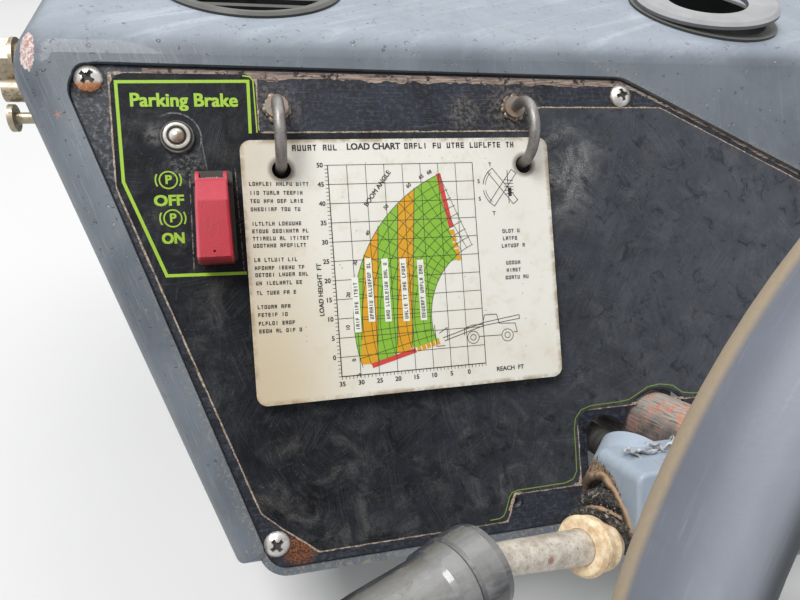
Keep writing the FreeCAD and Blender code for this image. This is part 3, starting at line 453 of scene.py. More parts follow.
def overlay_film():
    """Navy-black printed film, wiped in many curves, dusty to the right."""
    shade = Shade("overlay_film", FACE)
    x, y = shade.axes()[:2]
    cloud = shade.noise(46, 5.0, 0.62, 1.4)
    fine = shade.noise(1.0, 4.0, 0.7)
    right = x.rise(-240, 120)
    shade.ground(cloud.rise(0.38, 0.68), (7, 8, 13), (24, 27, 33))
    shade.lay(right * (0.35 + 0.5 * cloud), (86, 90, 98))
    wipes = reduce(Number.most, [film_wipe(shade, x, y, *wipe) for wipe in enumerate(WIPE_CENTRES)])
    shade.lay(wipes * (0.34 + 0.30 * right), (104, 106, 111))
    lay_film_dust(shade, x, y)
    lay_lamp_marks(shade, x, y, fine)
    shade.lay(shade.specks(1.6, 0.14) * 0.35, (176, 176, 172))
    bumps = shade.cells(0.9) * 0.4 + fine * 0.4 + wipes * 0.3
    return shade.done(0.52 + 0.2 * wipes + 0.14 * fine, 0.0, 0.0, bumps, 0.09, 0.14)


def film_wipe(shade, x, y, index, centre):
    """Patches of a wipe round one centre."""
    drift = FACE @ Matrix.Translation((0.041 * index, 0.057 * index, 0))
    patch = shade.noise(30.0, 4.0, 0.6, 1.0, shade.place(drift)).rise(0.46, 0.64)
    return patch * shade.arcs(x, y, centre, 0.5 + 0.06 * index).rise(0.44, 0.80)


def lay_film_dust(shade, x, y):
    """Smoky dust, thicker low down and under the guard, a powdery patch, and dark clean spots."""
    smoke = shade.noise(22, 6.0, 0.74, 0.7)
    grit = shade.noise(0.45, 3.0, 0.7)
    low = y.rise(60, -30).most(near(x, y, GUARD_DUST, 10.0, 34.0))
    shade.lay(smoke.rise(0.46, 0.74) * grit.rise(0.3, 0.7) * (0.30 + 0.22 * low), (132, 130, 126))
    powder = near(x, y, POWDER, 6.0, 42.0) * smoke.rise(0.36, 0.66) * grit.rise(0.36, 0.66)
    shade.lay(powder * 0.8, (176, 174, 170))
    shade.lay(shade.noise(12, 5.0, 0.7, 1.0).rise(0.52, 0.70) * 0.6, (6, 7, 11))


def lay_lamp_marks(shade, x, y, fine):
    """Part of a ring, a tail and crusts round the lamp, and worn lines beside the guard."""
    crust = shade.noise(2.6, 5.0, 0.75)
    ring = abs(away(x, y, LAMP) - 13.4 + 0.1 * (x - LAMP[0])).rise(0.7, 0.1)
    ghost = ring * (x + y).rise(-92, -84) * fine.rise(0.36, 0.56)
    bend = (y - 180.0) * 0.12
    tail = abs(x + 270.6 + bend + (fine - 0.5) * 1.4).rise(0.6, 0.1) * y.rise(191, 188) * y.rise(171, 176)
    glue = (x + 296.5).rise(9.0, 0.0) * near(x, y, LAMP_GLUE, 2.0, 9.0) * crust.rise(0.38, 0.6) * 0.6
    side = near(x, y, LAMP_CRUST, 3.0, 14.0) * crust.rise(0.45, 0.62) * 0.6
    shade.lay(reduce(Number.most, [ghost, tail * fine, glue, side]) * 0.7, (146, 144, 140))
    gap = abs(x - GUARD_X) - 12.4 - (160 - y) * 0.02
    lining = abs(gap).rise(0.5, 0.1) * y.rise(176, 172) * y.rise(114, 120)
    shade.lay(lining * 0.5 * crust.rise(0.42, 0.58), (176, 166, 150))


def dirt_line():
    """Dried mud and old glue along the film's cut edge."""
    shade = Shade("dirt_line", FACE)
    fleck = shade.noise(2.0, 5.0, 0.75)
    shade.ground(fleck.rise(0.38, 0.62), (112, 96, 82), (198, 180, 160))
    shade.lay(shade.noise(0.8, 4.0, 0.7).rise(0.58, 0.68) * 0.6, (62, 52, 46))
    return shade.done(0.85, 0.0, 0.0, fleck, 0.2)


def peeled_strip():
    """Pinkish backing left where the film has peeled from the plate's top edge."""
    shade = Shade("peeled_strip", FACE)
    fibre = shade.streaks(FACE, 0, 0.8, 12.0)
    patch = shade.noise(6, 5.0, 0.72)
    shade.ground(fibre.rise(0.35, 0.7), (104, 88, 80), (184, 166, 152))
    shade.lay(patch.rise(0.52, 0.62), (52, 46, 48))
    return shade.done(0.9, 0.0, 0.0, fibre * 0.6 + patch * 0.4, 0.25)


def lime_ink():
    """Bold printed green, a little rubbed and dusty."""
    shade = Shade("lime_ink", FACE)
    wear = shade.noise(1.6, 5.0, 0.75)
    shade.ground(shade.noise(30, 3.0), (142, 180, 44), (164, 200, 66))
    shade.lay(wear.rise(0.62, 0.70) * 0.6, (92, 108, 52))
    return shade.done(0.5, 0.0, 0.0, wear, 0.03, 0.3)


def card_stock():
    """Cream plastic card: yellowed at random, with painted shade and yellowing towards its lower left and left
    edge, thumbed at its edges, brown round its holes.
    """
    shade = Shade("card_stock", FACE)
    x, y = shade.axes()[:2]
    cloud = shade.noise(70, 4.0, 0.6, 0.5)
    stain = shade.noise(12, 5.0, 0.7)
    # Darker and yellower towards the lower left and the left edge: painted shade together with yellowing.
    low = (y.rise(150, 50) * x.rise(-170, -250)).most(cloud.rise(0.5, 0.8) * 0.5)
    shade.ground(low, (226, 223, 213), (204, 189, 160))
    shade.lay(x.rise(-200, -256) * 0.6, (188, 172, 144))
    shade.lay(stain.rise(0.5, 0.72) * 0.35, (198, 184, 156))
    west, east, south, north = CARD_EDGES
    rim = reduce(Number.least, [x - west, east - x, y - south, north - y])
    shade.lay(rim.rise(3.2, 0.4) * stain.rise(0.35, 0.6) * 0.8, (150, 126, 94))
    holes = reduce(Number.most, [near(x, y, spot, 5.6, 8.6) for spot in CARD_HOLES])
    shade.lay(holes * (0.55 + 0.4 * stain), (74, 56, 40))
    shade.lay(shade.specks(5.5, 0.1) * 0.6, (132, 108, 80))
    bumps = shade.noise(1.4, 3.0, 0.6) * 0.3 + stain
    return shade.done(0.42 + 0.2 * stain, 0.0, 0.12, bumps, 0.08)


def card_ink(name, main, worn, fade=0.4):
    """Ink on the card, thinned where it is rubbed."""
    shade = Shade(name, FACE)
    wear = shade.noise(1.6, 4.0, 0.7)
    shade.ground(wear.rise(0.55, 0.75) * fade, main, worn)
    shade.lay(shade.noise(18, 3.0).rise(0.5, 0.8) * fade * 0.5, worn)
    return shade.done(0.5, 0.0, 0.05, wear, 0.02)


# Materials of the fittings on the face.


def red_guard():
    """Crimson moulding: a painted reflection above its ridge, a painted highlight along its left side, painted
    shade at the bevel.
    """
    shade = Shade("red_guard", FACE)
    x, y, height = shade.axes()
    cloud = shade.noise(8, 5.0, 0.68)
    fine = shade.noise(0.9, 3.0, 0.6)
    draw = shade.streaks(FACE, 1, 0.7, 9.0)
    shade.ground(cloud, (150, 10, 30), (182, 22, 46))
    shade.lay(draw.rise(0.5, 0.72) * 0.3, (188, 46, 70))
    # Paler above the ridge: painted sky reflection on the upper facet.
    shade.lay(y.rise(151.6, 153.6) * height.rise(8, 12) * (0.15 + 0.3 * cloud), (216, 84, 104))
    # Paler along the left side: painted highlight.
    shade.lay((x - GUARD_X).rise(-6.6, -8.6) * height.rise(12, 17) * 0.5, (226, 120, 136))
    # Dark at the lower bevel: painted shade.
    shade.lay(y.rise(123.2, 121.2) * 0.7, (78, 6, 18))
    shade.lay(shade.specks(1.8, 0.2) * 0.5, (92, 24, 32))
    shade.lay(height.rise(6, 3) * fine.rise(0.4, 0.6) * 0.6, (74, 44, 40))
    return shade.done(0.34 + 0.22 * cloud, 0.0, 0.15, fine + 0.5 * draw, 0.08, 0.4)


def zinc_steel(name, light, dark, rust_colour, rust_share):
    """Dull plated steel with rust in patches."""
    shade = Shade(name)
    fine = shade.noise(0.8, 3.0, 0.7)
    rust = shade.noise(3.4, 5.0, 0.7, 0.8).rise(0.62 - rust_share, 0.74 - rust_share)
    shade.ground(shade.noise(5, 5.0, 0.68), dark, light)
    shade.lay(rust * 0.8, rust_colour)
    return shade.done(0.36 + 0.4 * rust + 0.14 * fine, 0.85 - 0.75 * rust, 0.0, fine + rust, 0.08)


def rod_steel():
    """Bare rod of the hoops: drawn, dark in its scratches, brown where the welds are."""
    shade = Shade("rod_steel")
    low = shade.axes(shade.place(FACE))[2].rise(9, 2)
    cloud = shade.noise(5, 5.0, 0.7)
    draw = shade.noise(0.9, 5.0, 0.7, 1.0)
    shade.ground(cloud, (96, 92, 90), (168, 164, 160))
    shade.lay(draw.rise(0.52, 0.66) * 0.6, (64, 58, 56))
    shade.lay(low * cloud.rise(0.35, 0.6) * 0.8, (138, 112, 88))
    return shade.done(0.36 + 0.2 * cloud, 0.75 - 0.5 * low, 0.0, draw + cloud, 0.1)


def screw_zinc():
    """Bright plated heads: painted shade in the cross recess, dark at the brim, one with rust on its lower
    side.
    """
    shade = Shade("screw_zinc", FACE)
    x, y, height = shade.axes()
    reach = reduce(Number.least, [away(x, y, spot) for spot in SCREWS])
    cloud = shade.noise(3.2, 5.0, 0.7)
    fine = shade.noise(0.8, 4.0, 0.7)
    shade.ground(cloud, (168, 164, 158), (226, 224, 220))
    below = (y - SCREWS[0][1]).rise(-1.2, -4.2) * x.rise(-300, -310)
    shade.lay(below * fine.rise(0.32, 0.5), (190, 122, 66))
    brim = reach.rise(6.3, 7.0) * cloud.rise(0.4, 0.58)
    shade.lay(brim * 0.8, (70, 56, 46))
    # Near-black in the cross recess: painted shade.
    depth = SCREW_HEAD_H + SCREW_SEAT - reach * reach * 0.055 - height
    recess_shade = depth.rise(0.25, 1.0) * reach.rise(4.6, 4.2)
    shade.lay(recess_shade * 0.92, (26, 22, 20))
    shade.lay(fine.rise(0.64, 0.74) * 0.5, (104, 92, 80))
    # worn also takes in the recess's painted shade, for roughness and metal.
    worn = below.most(brim).most(recess_shade)
    return shade.done(0.26 + 0.5 * worn + 0.14 * fine, 0.75 - 0.7 * worn, 0.0, fine, 0.08)


def lamp_chrome():
    """Worn plated ring with painted shade in the gap inside it and the groove outside it."""
    shade = Shade("lamp_chrome", FACE)
    reach = away(*shade.axes()[:2], LAMP)
    cloud = shade.noise(2.4, 4.0, 0.7)
    # Dark rings at the inner gap and the outer groove: painted shade.
    recess_shade = reach.rise(5.5, 5.0).most(abs(reach - 7.6).rise(0.75, 0.45))
    shade.ground(cloud, (168, 160, 152), (222, 218, 212))
    shade.lay(recess_shade * 0.92, (26, 23, 24))
    return shade.done(0.2 + 0.2 * cloud + 0.3 * recess_shade, 0.85 - 0.8 * recess_shade, 0.0, cloud - recess_shade, 0.1)


def lamp_pearl():
    """Milky lens with a painted highlight at its upper left, tan in its lower right, and painted shade round
    its edge.
    """
    shade = Shade("lamp_pearl", FACE)
    x, y = shade.axes()[:2]
    cloud = shade.noise(2.0, 4.0, 0.7)
    # Whitish towards the upper left: painted highlight; tan towards the lower right: the lens's own tint.
    lean = (x - LAMP[0]) * 0.7 - (y - LAMP[1]) * 0.7 + cloud * 2.0
    shade.ground(lean.rise(-1.4, 2.6), (222, 218, 212), (128, 108, 90))
    # Dark round the edge: painted shade where the lens meets the bezel.
    shade.lay(away(x, y, LAMP).rise(3.9, 4.4), (44, 34, 30))
    return shade.done(0.16 + 0.15 * cloud, 0.35, 0.6, cloud, 0.04)


def moulded(name, main, dust, dusty, rough=0.5):
    """Moulded plastic: fine grain, dust on what looks upwards, and a few scuffs."""
    shade = Shade(name)
    cloud = shade.noise(22, 5.0, 0.62, 0.5)
    fine = shade.noise(1.1, 3.0, 0.6)
    scuff = shade.noise(6, 5.0, 0.72, 1.0).rise(0.6, 0.72)
    lying = shade.up().rise(0.1, 0.95) * (0.5 + cloud) * dusty
    shade.ground(cloud * 0.25, main, dust)
    shade.lay(lying, dust)
    shade.lay(scuff * 0.35, dust)
    return shade.done(rough + 0.2 * lying + 0.1 * fine, 0.0, 0.05, fine + scuff, 0.08, 0.35)


def clear_glass():
    """Gauge glass: clear, with dust that dulls it."""
    shade = Shade("clear_glass")
    haze = shade.noise(9, 4.0, 0.6)
    shade.put(shade.surface.inputs["Alpha"], 0.16 + 0.14 * haze)
    shade.colour = tone((196, 202, 204))
    return shade.done(0.08 + 0.2 * haze, 0.0, 0.3, haze, 0.02)


# Materials of the frame, column, lever and wheel, and of the floor.


def black_paint(name):
    """Semi-gloss black paint on steel, with a little orange peel and rubbed spots."""
    shade = Shade(name)
    cloud = shade.noise(40, 4.0, 0.6)
    rub = shade.noise(5, 5.0, 0.72).rise(0.66, 0.74)
    shade.ground(cloud, (24, 24, 26), (44, 44, 47))
    shade.lay(shade.up().rise(0.3, 1.0) * 0.3, (96, 92, 86))
    shade.lay(rub * 0.6, (120, 92, 70))
    return shade.done(0.34 + 0.3 * rub + 0.12 * cloud, 0.0, 0.25, shade.noise(2.6, 2.0) + rub, 0.09)


def scraped_jacket():
    """Grey-brown column tube, paler along its top from a painted highlight with dust, and scraped there to
    orange primer and pale metal.
    """
    shade = Shade("scraped_jacket", COLUMN)
    top = shade.axes()[1].rise(8, 22)
    cloud = shade.noise(14, 5.0, 0.66, 0.8)
    torn = shade.noise(9.0, 6.0, 0.74, 0.8, shade.place(COLUMN, (1.6, 1, 1.6)))
    lines = shade.streaks(COLUMN, 2, 1.0, 16.0)
    fine = shade.noise(1.2, 5.0, 0.72)
    shade.ground(cloud.rise(0.3, 0.7), (52, 48, 48), (112, 104, 100))
    # Paler towards the top: painted highlight together with dust.
    shade.lay(0.1 + top * 0.7, (200, 188, 178))
    shade.lay(lines.rise(0.47, 0.36) * 0.7, (46, 44, 48))
    shade.lay(torn.rise(0.50, 0.56) * (0.25 + 0.7 * top), (206, 140, 110))
    shade.lay(lines.rise(0.54, 0.68) * (0.2 + 0.5 * top), (222, 214, 208))
    shade.lay(fine.rise(0.58, 0.68) * 0.6, (48, 46, 50))
    return shade.done(0.4 + 0.25 * torn, 0.0, 0.1, torn + fine * 0.4, 0.2)


def cast_valve():
    """Sooty cast body with a coarse skin."""
    shade = Shade("cast_valve")
    cloud = shade.noise(16, 5.0, 0.66)
    shade.ground(cloud, (40, 40, 41), (74, 71, 67))
    shade.lay(shade.noise(4).rise(0.6, 0.74) * 0.5, (110, 84, 62))
    return shade.done(0.62 + 0.2 * cloud, 0.2, 0.0, shade.cells(1.7) + cloud, 0.3)


def weathered_housing():
    """Pale blue-grey weathered plastic, with a dark crust at the lever's mouth."""
    shade = Shade("weathered_housing")
    cloud = shade.noise(14, 5.0, 0.68, 0.8)
    fine = shade.noise(1.4, 5.0, 0.75)
    offset = [axis - root for axis, root in zip(shade.axes(shade.place(FACE)), LEVER_ROOT)]
    length = shade.add("ShaderNodeVectorMath", {"operation": "LENGTH"}, {0: shade.vector(*offset)})
    mouth = (Number(shade, length.outputs["Value"]) + (fine - 0.5) * 7).rise(22.0, 20.4)
    shade.ground(cloud, (138, 150, 164), (176, 187, 200))
    shade.lay(cloud.rise(0.56, 0.72) * 0.4, (112, 116, 122))
    shade.lay(mouth, shade.mix(fine.rise(0.4, 0.56), (40, 35, 33), (150, 124, 98)))
    shade.lay(fine.rise(0.62, 0.72) * 0.4, (92, 92, 92))
    return shade.done(0.46 + 0.2 * cloud + 0.2 * mouth, 0.0, 0.08, fine + cloud, 0.2)


def perished_rubber():
    """Cracked black rubber, greyed on its folds and full of pale crumbs."""
    shade = Shade("perished_rubber")
    crumb = shade.noise(2.6, 6.0, 0.8, 1.2)
    crack = shade.cells(2.0, "DISTANCE_TO_EDGE").rise(0.0, 0.1)
    shade.ground(crumb.rise(0.40, 0.66), (18, 17, 18), (88, 84, 80))
    shade.lay(crumb.rise(0.54, 0.66), (182, 174, 164))
    shade.lay(shade.noise(6, 5.0, 0.7).rise(0.58, 0.68) * 0.6, (138, 112, 88))
    return shade.done(0.8, 0.0, 0.0, crack * 0.5 + crumb, 0.6)


def cream_gland():
    """Cream plastic gland: tan in its grooves, soot on its lower side."""
    shade = Shade("cream_gland")
    x, y = shade.axes(shade.place(FACE))[:2]
    cloud = shade.noise(5, 5.0, 0.7)
    fine = shade.noise(0.9, 4.0, 0.7)
    shade.ground(cloud.rise(0.3, 0.7), (206, 172, 128), (244, 226, 194))
    shade.lay(fine.rise(0.58, 0.74) * 0.5, (140, 108, 78))
    soot = (y - LEVER_COLLAR.y - (x - LEVER_COLLAR.x) * 0.6 + cloud * 8).rise(2.0, -7.0)
    shade.lay(soot * fine.rise(0.35, 0.55) * 0.7, (74, 60, 50))
    return shade.done(0.6 + 0.15 * cloud, 0.0, 0.0, fine + cloud, 0.16)


def dusty_stem():
    """Silvery plated stem under cream dust, pitted with dark spots, chipped red in one place."""
    shade = Shade("dusty_stem", FACE)
    cloud = shade.noise(7, 5.0, 0.72)
    fine = shade.noise(1.2, 5.0, 0.74)
    shade.ground(cloud.rise(0.3, 0.7), (172, 160, 144), (226, 218, 206))
    chip = away(*shade.axes()[:2], STEM_CHIP) + fine * 5
    shade.lay(chip.rise(4.6, 3.4) * 0.8, (150, 96, 74))
    shade.lay(fine.rise(0.57, 0.66) * 0.7, (92, 80, 70))
    metal = 0.2 + 0.25 * cloud.rise(0.5, 0.7)
    return shade.done(0.4 + 0.2 * cloud, metal, 0.0, fine + cloud, 0.12)


def grip_plastic():
    """Glossy worn black plastic: pale rubbed streaks along it and tan dust in its seams."""
    shade = Shade("grip_plastic")
    along = (LEVER_STEM_END - LEVER_COLLAR).to_track_quat("X", "Z").to_matrix().to_4x4()
    cloud = shade.noise(16, 5.0, 0.66, 0.8)
    dirt = shade.noise(5, 5.0, 0.75, 1.0).rise(0.58, 0.68)
    shade.ground(cloud, (30, 34, 40), (62, 66, 72))
    shade.lay(shade.streaks(FACE @ along, 0, 1.6, 26.0).rise(0.5, 0.74) * 0.5, (132, 134, 138))
    shade.lay(shade.up().rise(0.55, 1.0) * (0.3 + 0.5 * cloud), (168, 166, 162))
    shade.lay(dirt * 0.45, (134, 112, 88))
    bumps = shade.noise(1.2, 4.0, 0.7) + dirt
    return shade.done(0.22 + 0.25 * cloud + 0.3 * dirt, 0.0, 0.5, bumps, 0.1)


def worn_rim():
    """Smooth slate rim: painted sheen on its outer side, a painted highlight at its crown, fine scratches, and
    tan dust low on its outer side.
    """
    shade = Shade("worn_rim", COLUMN)
    x, y, height = shade.axes()
    reach = (x * x + y * y) ** 0.5
    outward = (reach - RIM_R) / RIM_TUBE
    level = (height - RIM_HEIGHT) / RIM_TUBE
    turn = shade.math("ARCTAN2", y, x)
    cloud = shade.noise(34, 5.0, 0.64, 0.6)
    fine = shade.noise(1.3, 4.0, 0.66)
    drawn = shade.noise(1.0, 4.0, 0.7, at=shade.vector(reach / 1.2, turn * 8.0, height / 1.2))
    shade.ground(cloud, (22, 25, 32), (42, 47, 57))
    # Paler on the outer side: painted sheen.
    shade.lay(outward.rise(0.25, 0.9) * (0.35 + 0.3 * cloud), (136, 142, 154))
    # Pale band near the crown: painted highlight.
    highlight_crown = outward.rise(-0.35, 0.25) * outward.rise(0.95, 0.45) * level.rise(-0.1, 0.5)
    shade.lay(highlight_crown * (0.3 + 0.3 * cloud), (186, 190, 202))
    shade.lay(drawn.rise(0.56, 0.76) * 0.25, (150, 156, 164))
    dust = level.rise(0.02, -0.22) * outward.rise(0.3, 0.8) * (0.6 + 0.6 * fine)
    shade.lay(dust.least(1.0) * 0.85, (176, 156, 126))
    return shade.done(0.44 + 0.2 * cloud + 0.3 * dust, 0.0, 0.0, fine, 0.05)


def faded_film():
    """Crumpled bits of pale wrapping, creased and dirty."""
    shade = Shade("faded_film")
    crease = shade.noise(3.0, 5.0, 0.7, 1.2)
    shade.ground(crease, (168, 170, 172), (232, 232, 230))
    shade.lay(crease.rise(0.6, 0.72) * 0.5, (124, 104, 86))
    return shade.done(0.5 + 0.2 * crease, 0.0, 0.1, crease, 0.3)


def pale_floor():
    """Pale studio floor, very slightly uneven."""
    shade = Shade("pale_floor")
    shade.ground(shade.noise(400, 3.0), (226, 226, 224), (234, 234, 232))
    return shade.done(0.8)


# Building of pieces.


def shown(name, data):
    """New object of the scene."""
    obj = bpy.data.objects.new(name, data)
    bpy.context.collection.objects.link(obj)
    return obj


def piece(name, mesh, material, body, slot, *nodes):
    """Hang a finished mesh on a body, in place of the nodes that it stands for."""
    obj = shown(name, mesh)
    mesh.materials.clear()
    mesh.materials.append(material)
    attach(obj, body)
    if nodes:
        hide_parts(*nodes)


def mesh_of(form, name, smooth=False):
    """Plain mesh from a bmesh, with its faces outwards."""
    bmesh.ops.recalc_face_normals(form, faces=form.faces)
    mesh = bpy.data.meshes.new(name)
    form.to_mesh(mesh)
    form.free()
    for polygon in mesh.polygons:
        polygon.use_smooth = smooth
    return mesh


def skin(form, low, high):
    """Side faces between two rings of as many vertices."""
    for i in range(len(low)):
        j = (i + 1) % len(low)
        form.faces.new((low[i], low[j], high[j], high[i]))


def closed_row(form, rings):
    """Skin along a row of rings, with a cap at either end."""
    for low, high in zip(rings, rings[1:]):
        skin(form, low, high)
    form.faces.new(rings[0][::-1])
    form.faces.new(rings[-1])


def lathe(form, profile, place, steps, bend=None):
    """Closed turned form about the Z axis of a place, from radius and height in millimetres."""
    rings = []
    for radius, height in profile:
        ring = []
        for i in range(steps):
            spot = Vector((*around((0, 0), radius, math.tau * i / steps), height))
            if bend:
                spot = bend(spot)
            ring.append(form.verts.new(place @ (spot * MM)))
        rings.append(ring)
    closed_row(form, rings)


def repeat_tree():
    """Node group that sets a copy of a piece on each point, turned by the point's own angles."""
    group = bpy.data.node_groups.new("repeat", "GeometryNodeTree")
    sockets = {}
    kinds = {"Points": "Geometry", "Piece": "Object", "Spread": "Float", "Material": "Material"}
    for name, kind in kinds.items():
        socket = group.interface.new_socket(name, in_out="INPUT", socket_type="NodeSocket" + kind)
        sockets[name] = socket.identifier
    group.interface.new_socket("Result", in_out="OUTPUT", socket_type="NodeSocketGeometry")
    tree = Tree(group)
    given = tree.add("NodeGroupInput", {}, {}).outputs
    spread = Number(tree, given["Spread"])
    source = tree.add("GeometryNodeObjectInfo", {}, {"Object": given["Piece"]})
    turn = tree.add("GeometryNodeInputNamedAttribute", {"data_type": "FLOAT_VECTOR"}, {"Name": "turn"})
    sizes = {"Seed": 7, 2: 1.0 - spread, 3: 1.0 + spread}
    size = tree.add("FunctionNodeRandomValue", {"data_type": "FLOAT"}, sizes)
    values = {
        "Points": given["Points"],
        "Instance": source.outputs["Geometry"],
        "Rotation": turn.outputs["Attribute"],
        "Scale": size.outputs[1],
    }
    copies = tree.add("GeometryNodeInstanceOnPoints", {}, values)
    real = tree.add("GeometryNodeRealizeInstances", {}, {"Geometry": copies.outputs["Instances"]})
    values = {"Geometry": real.outputs["Geometry"], "Material": given["Material"]}
    paint = tree.add("GeometryNodeSetMaterial", {}, values)
    tree.add("NodeGroupOutput", {}, {0: paint.outputs["Geometry"]})
    return group, sockets


def repeated(name, form_mesh, places, spread, material):
    """Plain mesh with a copy of a form at each place, made by the repeat nodes."""
    group, sockets = REPEAT
    points = bpy.data.meshes.new(name + "_points")
    points.from_pydata([place.to_translation() for place in places], [], [])
    turns = points.attributes.new("turn", "FLOAT_VECTOR", "POINT")
    for item, place in zip(turns.data, places):
        item.vector = place.to_euler()
    holder = shown(name + "_holder", points)
    source = shown(name + "_form", form_mesh)
    modifier = holder.modifiers.new("repeat", "NODES")
    modifier.node_group = group
    modifier[sockets["Piece"]] = source
    modifier[sockets["Spread"]] = spread
    modifier[sockets["Material"]] = material
    holder.update_tag()
    graph = bpy.context.evaluated_depsgraph_get()
    graph.update()
    mesh = bpy.data.meshes.new_from_object(holder.evaluated_get(graph))
    mesh.name = name
    holder.modifiers.remove(modifier)
    bpy.data.objects.remove(holder)
    bpy.data.objects.remove(source)
    return mesh


class Print:
    """Flat marks on the dash face, gathered into one closed mesh."""

    def __init__(self, height, thick=INK):
        self.form = bmesh.new()
        self.low = height
        self.high = height + thick

    def patch(self, points):
        """Thin slab on an outline."""
        area = sum(a[0] * b[1] - b[0] * a[1] for a, b in zip(points, points[1:] + points[:1]))
        if area < 0:
            points = points[::-1]
        low = [self.form.verts.new(face(x, y, self.low)) for x, y in points]
        high = [self.form.verts.new(face(x, y, self.high)) for x, y in points]
        self.form.faces.new(high)
        self.form.faces.new(low[::-1])
        skin(self.form, low, high)

    def ribbon(self, points, widths, closed=False):
        """Line of one or many widths through points, joined at its corners."""
        count = len(points)
        if not isinstance(widths, (list, tuple)):
            widths = [widths] * count
        left = []
        right = []
        for i, (x, y) in enumerate(points):
            back = points[i - 1] if closed or i else points[i]
            ahead = points[(i + 1) % count] if closed or i < count - 1 else points[i]
            into = Vector((x - back[0], y - back[1]))
            out = Vector((ahead[0] - x, ahead[1] - y))
            run = (into.normalized() + out.normalized()).normalized()
            stretch = 1 / max(0.5, run.dot(into.normalized())) if into.length and out.length else 1.0
            across = Vector((-run.y, run.x)) * widths[i] / 2 * stretch
            left.append((x + across.x, y + across.y))
            right.append((x - across.x, y - across.y))
        for i in range(count if closed else count - 1):
            j = (i + 1) % count
            self.patch([right[i], right[j], left[j], left[i]])

    def box(self, x0, x1, y0, y1):
        self.patch([(x0, y0), (x1, y0), (x1, y1), (x0, y1)])

    def arc(self, centre, radius, start, end, width, steps=24):
        """Arc from a start to an end in degrees, or a whole ring."""
        points = []
        for i in range(steps + 1):
            points.append(around(centre, radius, math.radians(start + (end - start) * i / steps)))
        if abs(end - start) >= 360:
            self.ribbon(points[:-1], width, closed=True)
        else:
            self.ribbon(points, width)

    def text(self, words, x, y, size, angle=0.0, bold=0.0, align="CENTER", wide=None):
        """Plain lettering centred on a point, its capitals about 0.7 of size high.

        Bold lettering is printed five times, a little to each side. It is stretched to a
        width where one is given.
        """
        curve = bpy.data.curves.new("words", "FONT")
        curve.body = words
        curve.size = size
        curve.align_x = align
        curve.align_y = "CENTER"
        curve.extrude = (self.high - self.low) / 2
        curve.resolution_u = 3
        holder = bpy.data.objects.new("words", curve)
        stretch = 1.0
        if wide:
            plain = bpy.data.meshes.new_from_object(holder)
            across = [vert.co.x for vert in plain.vertices]
            stretch = (wide - 2 * bold) / (max(across) - min(across))
            bpy.data.meshes.remove(plain)
        spot = Matrix.Translation((x, y, (self.low + self.high) / 2))
        turn = Matrix.Rotation(math.radians(angle), 4, "Z")
        widen = Matrix.Diagonal((stretch, 1, 1, 1))
        shifts = ((0, 0), (-1, -0.7), (-1, 0.7), (1, -0.7), (1, 0.7)) if bold else ((0, 0),)
        for level, (east, north) in enumerate(shifts):
            mesh = bpy.data.meshes.new_from_object(holder)
            shift = Matrix.Translation((east * bold, north * bold, level * 0.004))
            mesh.transform(FACE @ Matrix.Scale(MM, 4) @ spot @ turn @ shift @ widen)
            self.form.from_mesh(mesh)
            bpy.data.meshes.remove(mesh)
        bpy.data.objects.remove(holder)
        bpy.data.curves.remove(curve)

    def marks(self, x, y, length, height, seed, angle=0.0, weight=0.2):
        """A line of small printing whose letters spell nothing."""
        chance = random.Random(seed)
        turn = Matrix.Rotation(math.radians(angle), 2)
        stroke = height * weight
        wide = height * 0.62
        top = height / 2
        bars = (
            (0, stroke, -top, top), (wide - stroke, wide, -top, top), (0, wide, top - stroke, top),
            (0, wide, -top, -top + stroke), (0, wide, -stroke / 2, stroke / 2),
            (wide / 2 - stroke / 2, wide / 2 + stroke / 2, -top, top),
        )
        letters = (
            (0, 2, 4, 3), (0, 1, 4), (0, 3), (2, 5), (0, 1, 2, 3), (0, 2, 4), (5,), (0, 1, 3), (0, 1, 2, 4),
        )
        place = 0.0
        left_in_word = chance.randint(2, 8)
        while place + wide <= length:
            if left_in_word:
                for bar in chance.choice(letters):
                    x0, x1, y0, y1 = bars[bar]
                    corners = []
                    for u, v in ((x0, y0), (x1, y0), (x1, y1), (x0, y1)):
                        corner = turn @ Vector((place + u, v))
                        corners.append((x + corner.x, y + corner.y))
                    self.patch(corners)
                left_in_word -= 1
            else:
                left_in_word = chance.randint(2, 8)
            place += height * 0.86

    def mesh(self, name):
        bmesh.ops.remove_doubles(self.form, verts=self.form.verts, dist=1e-7)
        return mesh_of(self.form, name)


# Marks on the overlay and the plate.


def legend_marks():
    """Frame line, words and brake symbols, printed in lime on the overlay."""
    ink = Print(FILM + 0.01)
    ink.ribbon(
        [(-245.3, 193.0), (-244.7, 222.2), (-313.5, 221.2), (-313.0, 167.5), (-294.4, 116.1), (-252.4, 115.2)],
        1.7,
    )
    ink.ribbon([(-247.5, 225.3), (-243.6, 224.8), (-241.9, 222.8), (-241.6, 193.4)], 0.7)
    ink.text("Parking Brake", -279.1, 211.2, 10.2, bold=0.32, wide=56.1)
    ink.text("OFF", -290.7, 156.6, 8.0, bold=0.34, wide=15.6)
    ink.text("ON", -289.7, 136.0, 8.0, bold=0.34, wide=11.7)
    for x, y in ((-290.3, 168.0), (-289.3, 147.1)):
        ink.arc((x, y), 4.6, 0, 360, 0.75)
        for middle in (180, 0):
            ink.arc((x, y), 6.6, middle - 30, middle + 30, 0.8, 10)
        ink.text("P", x, y, 6.6, bold=0.24, wide=3.4)
    return ink.mesh("legend_marks")


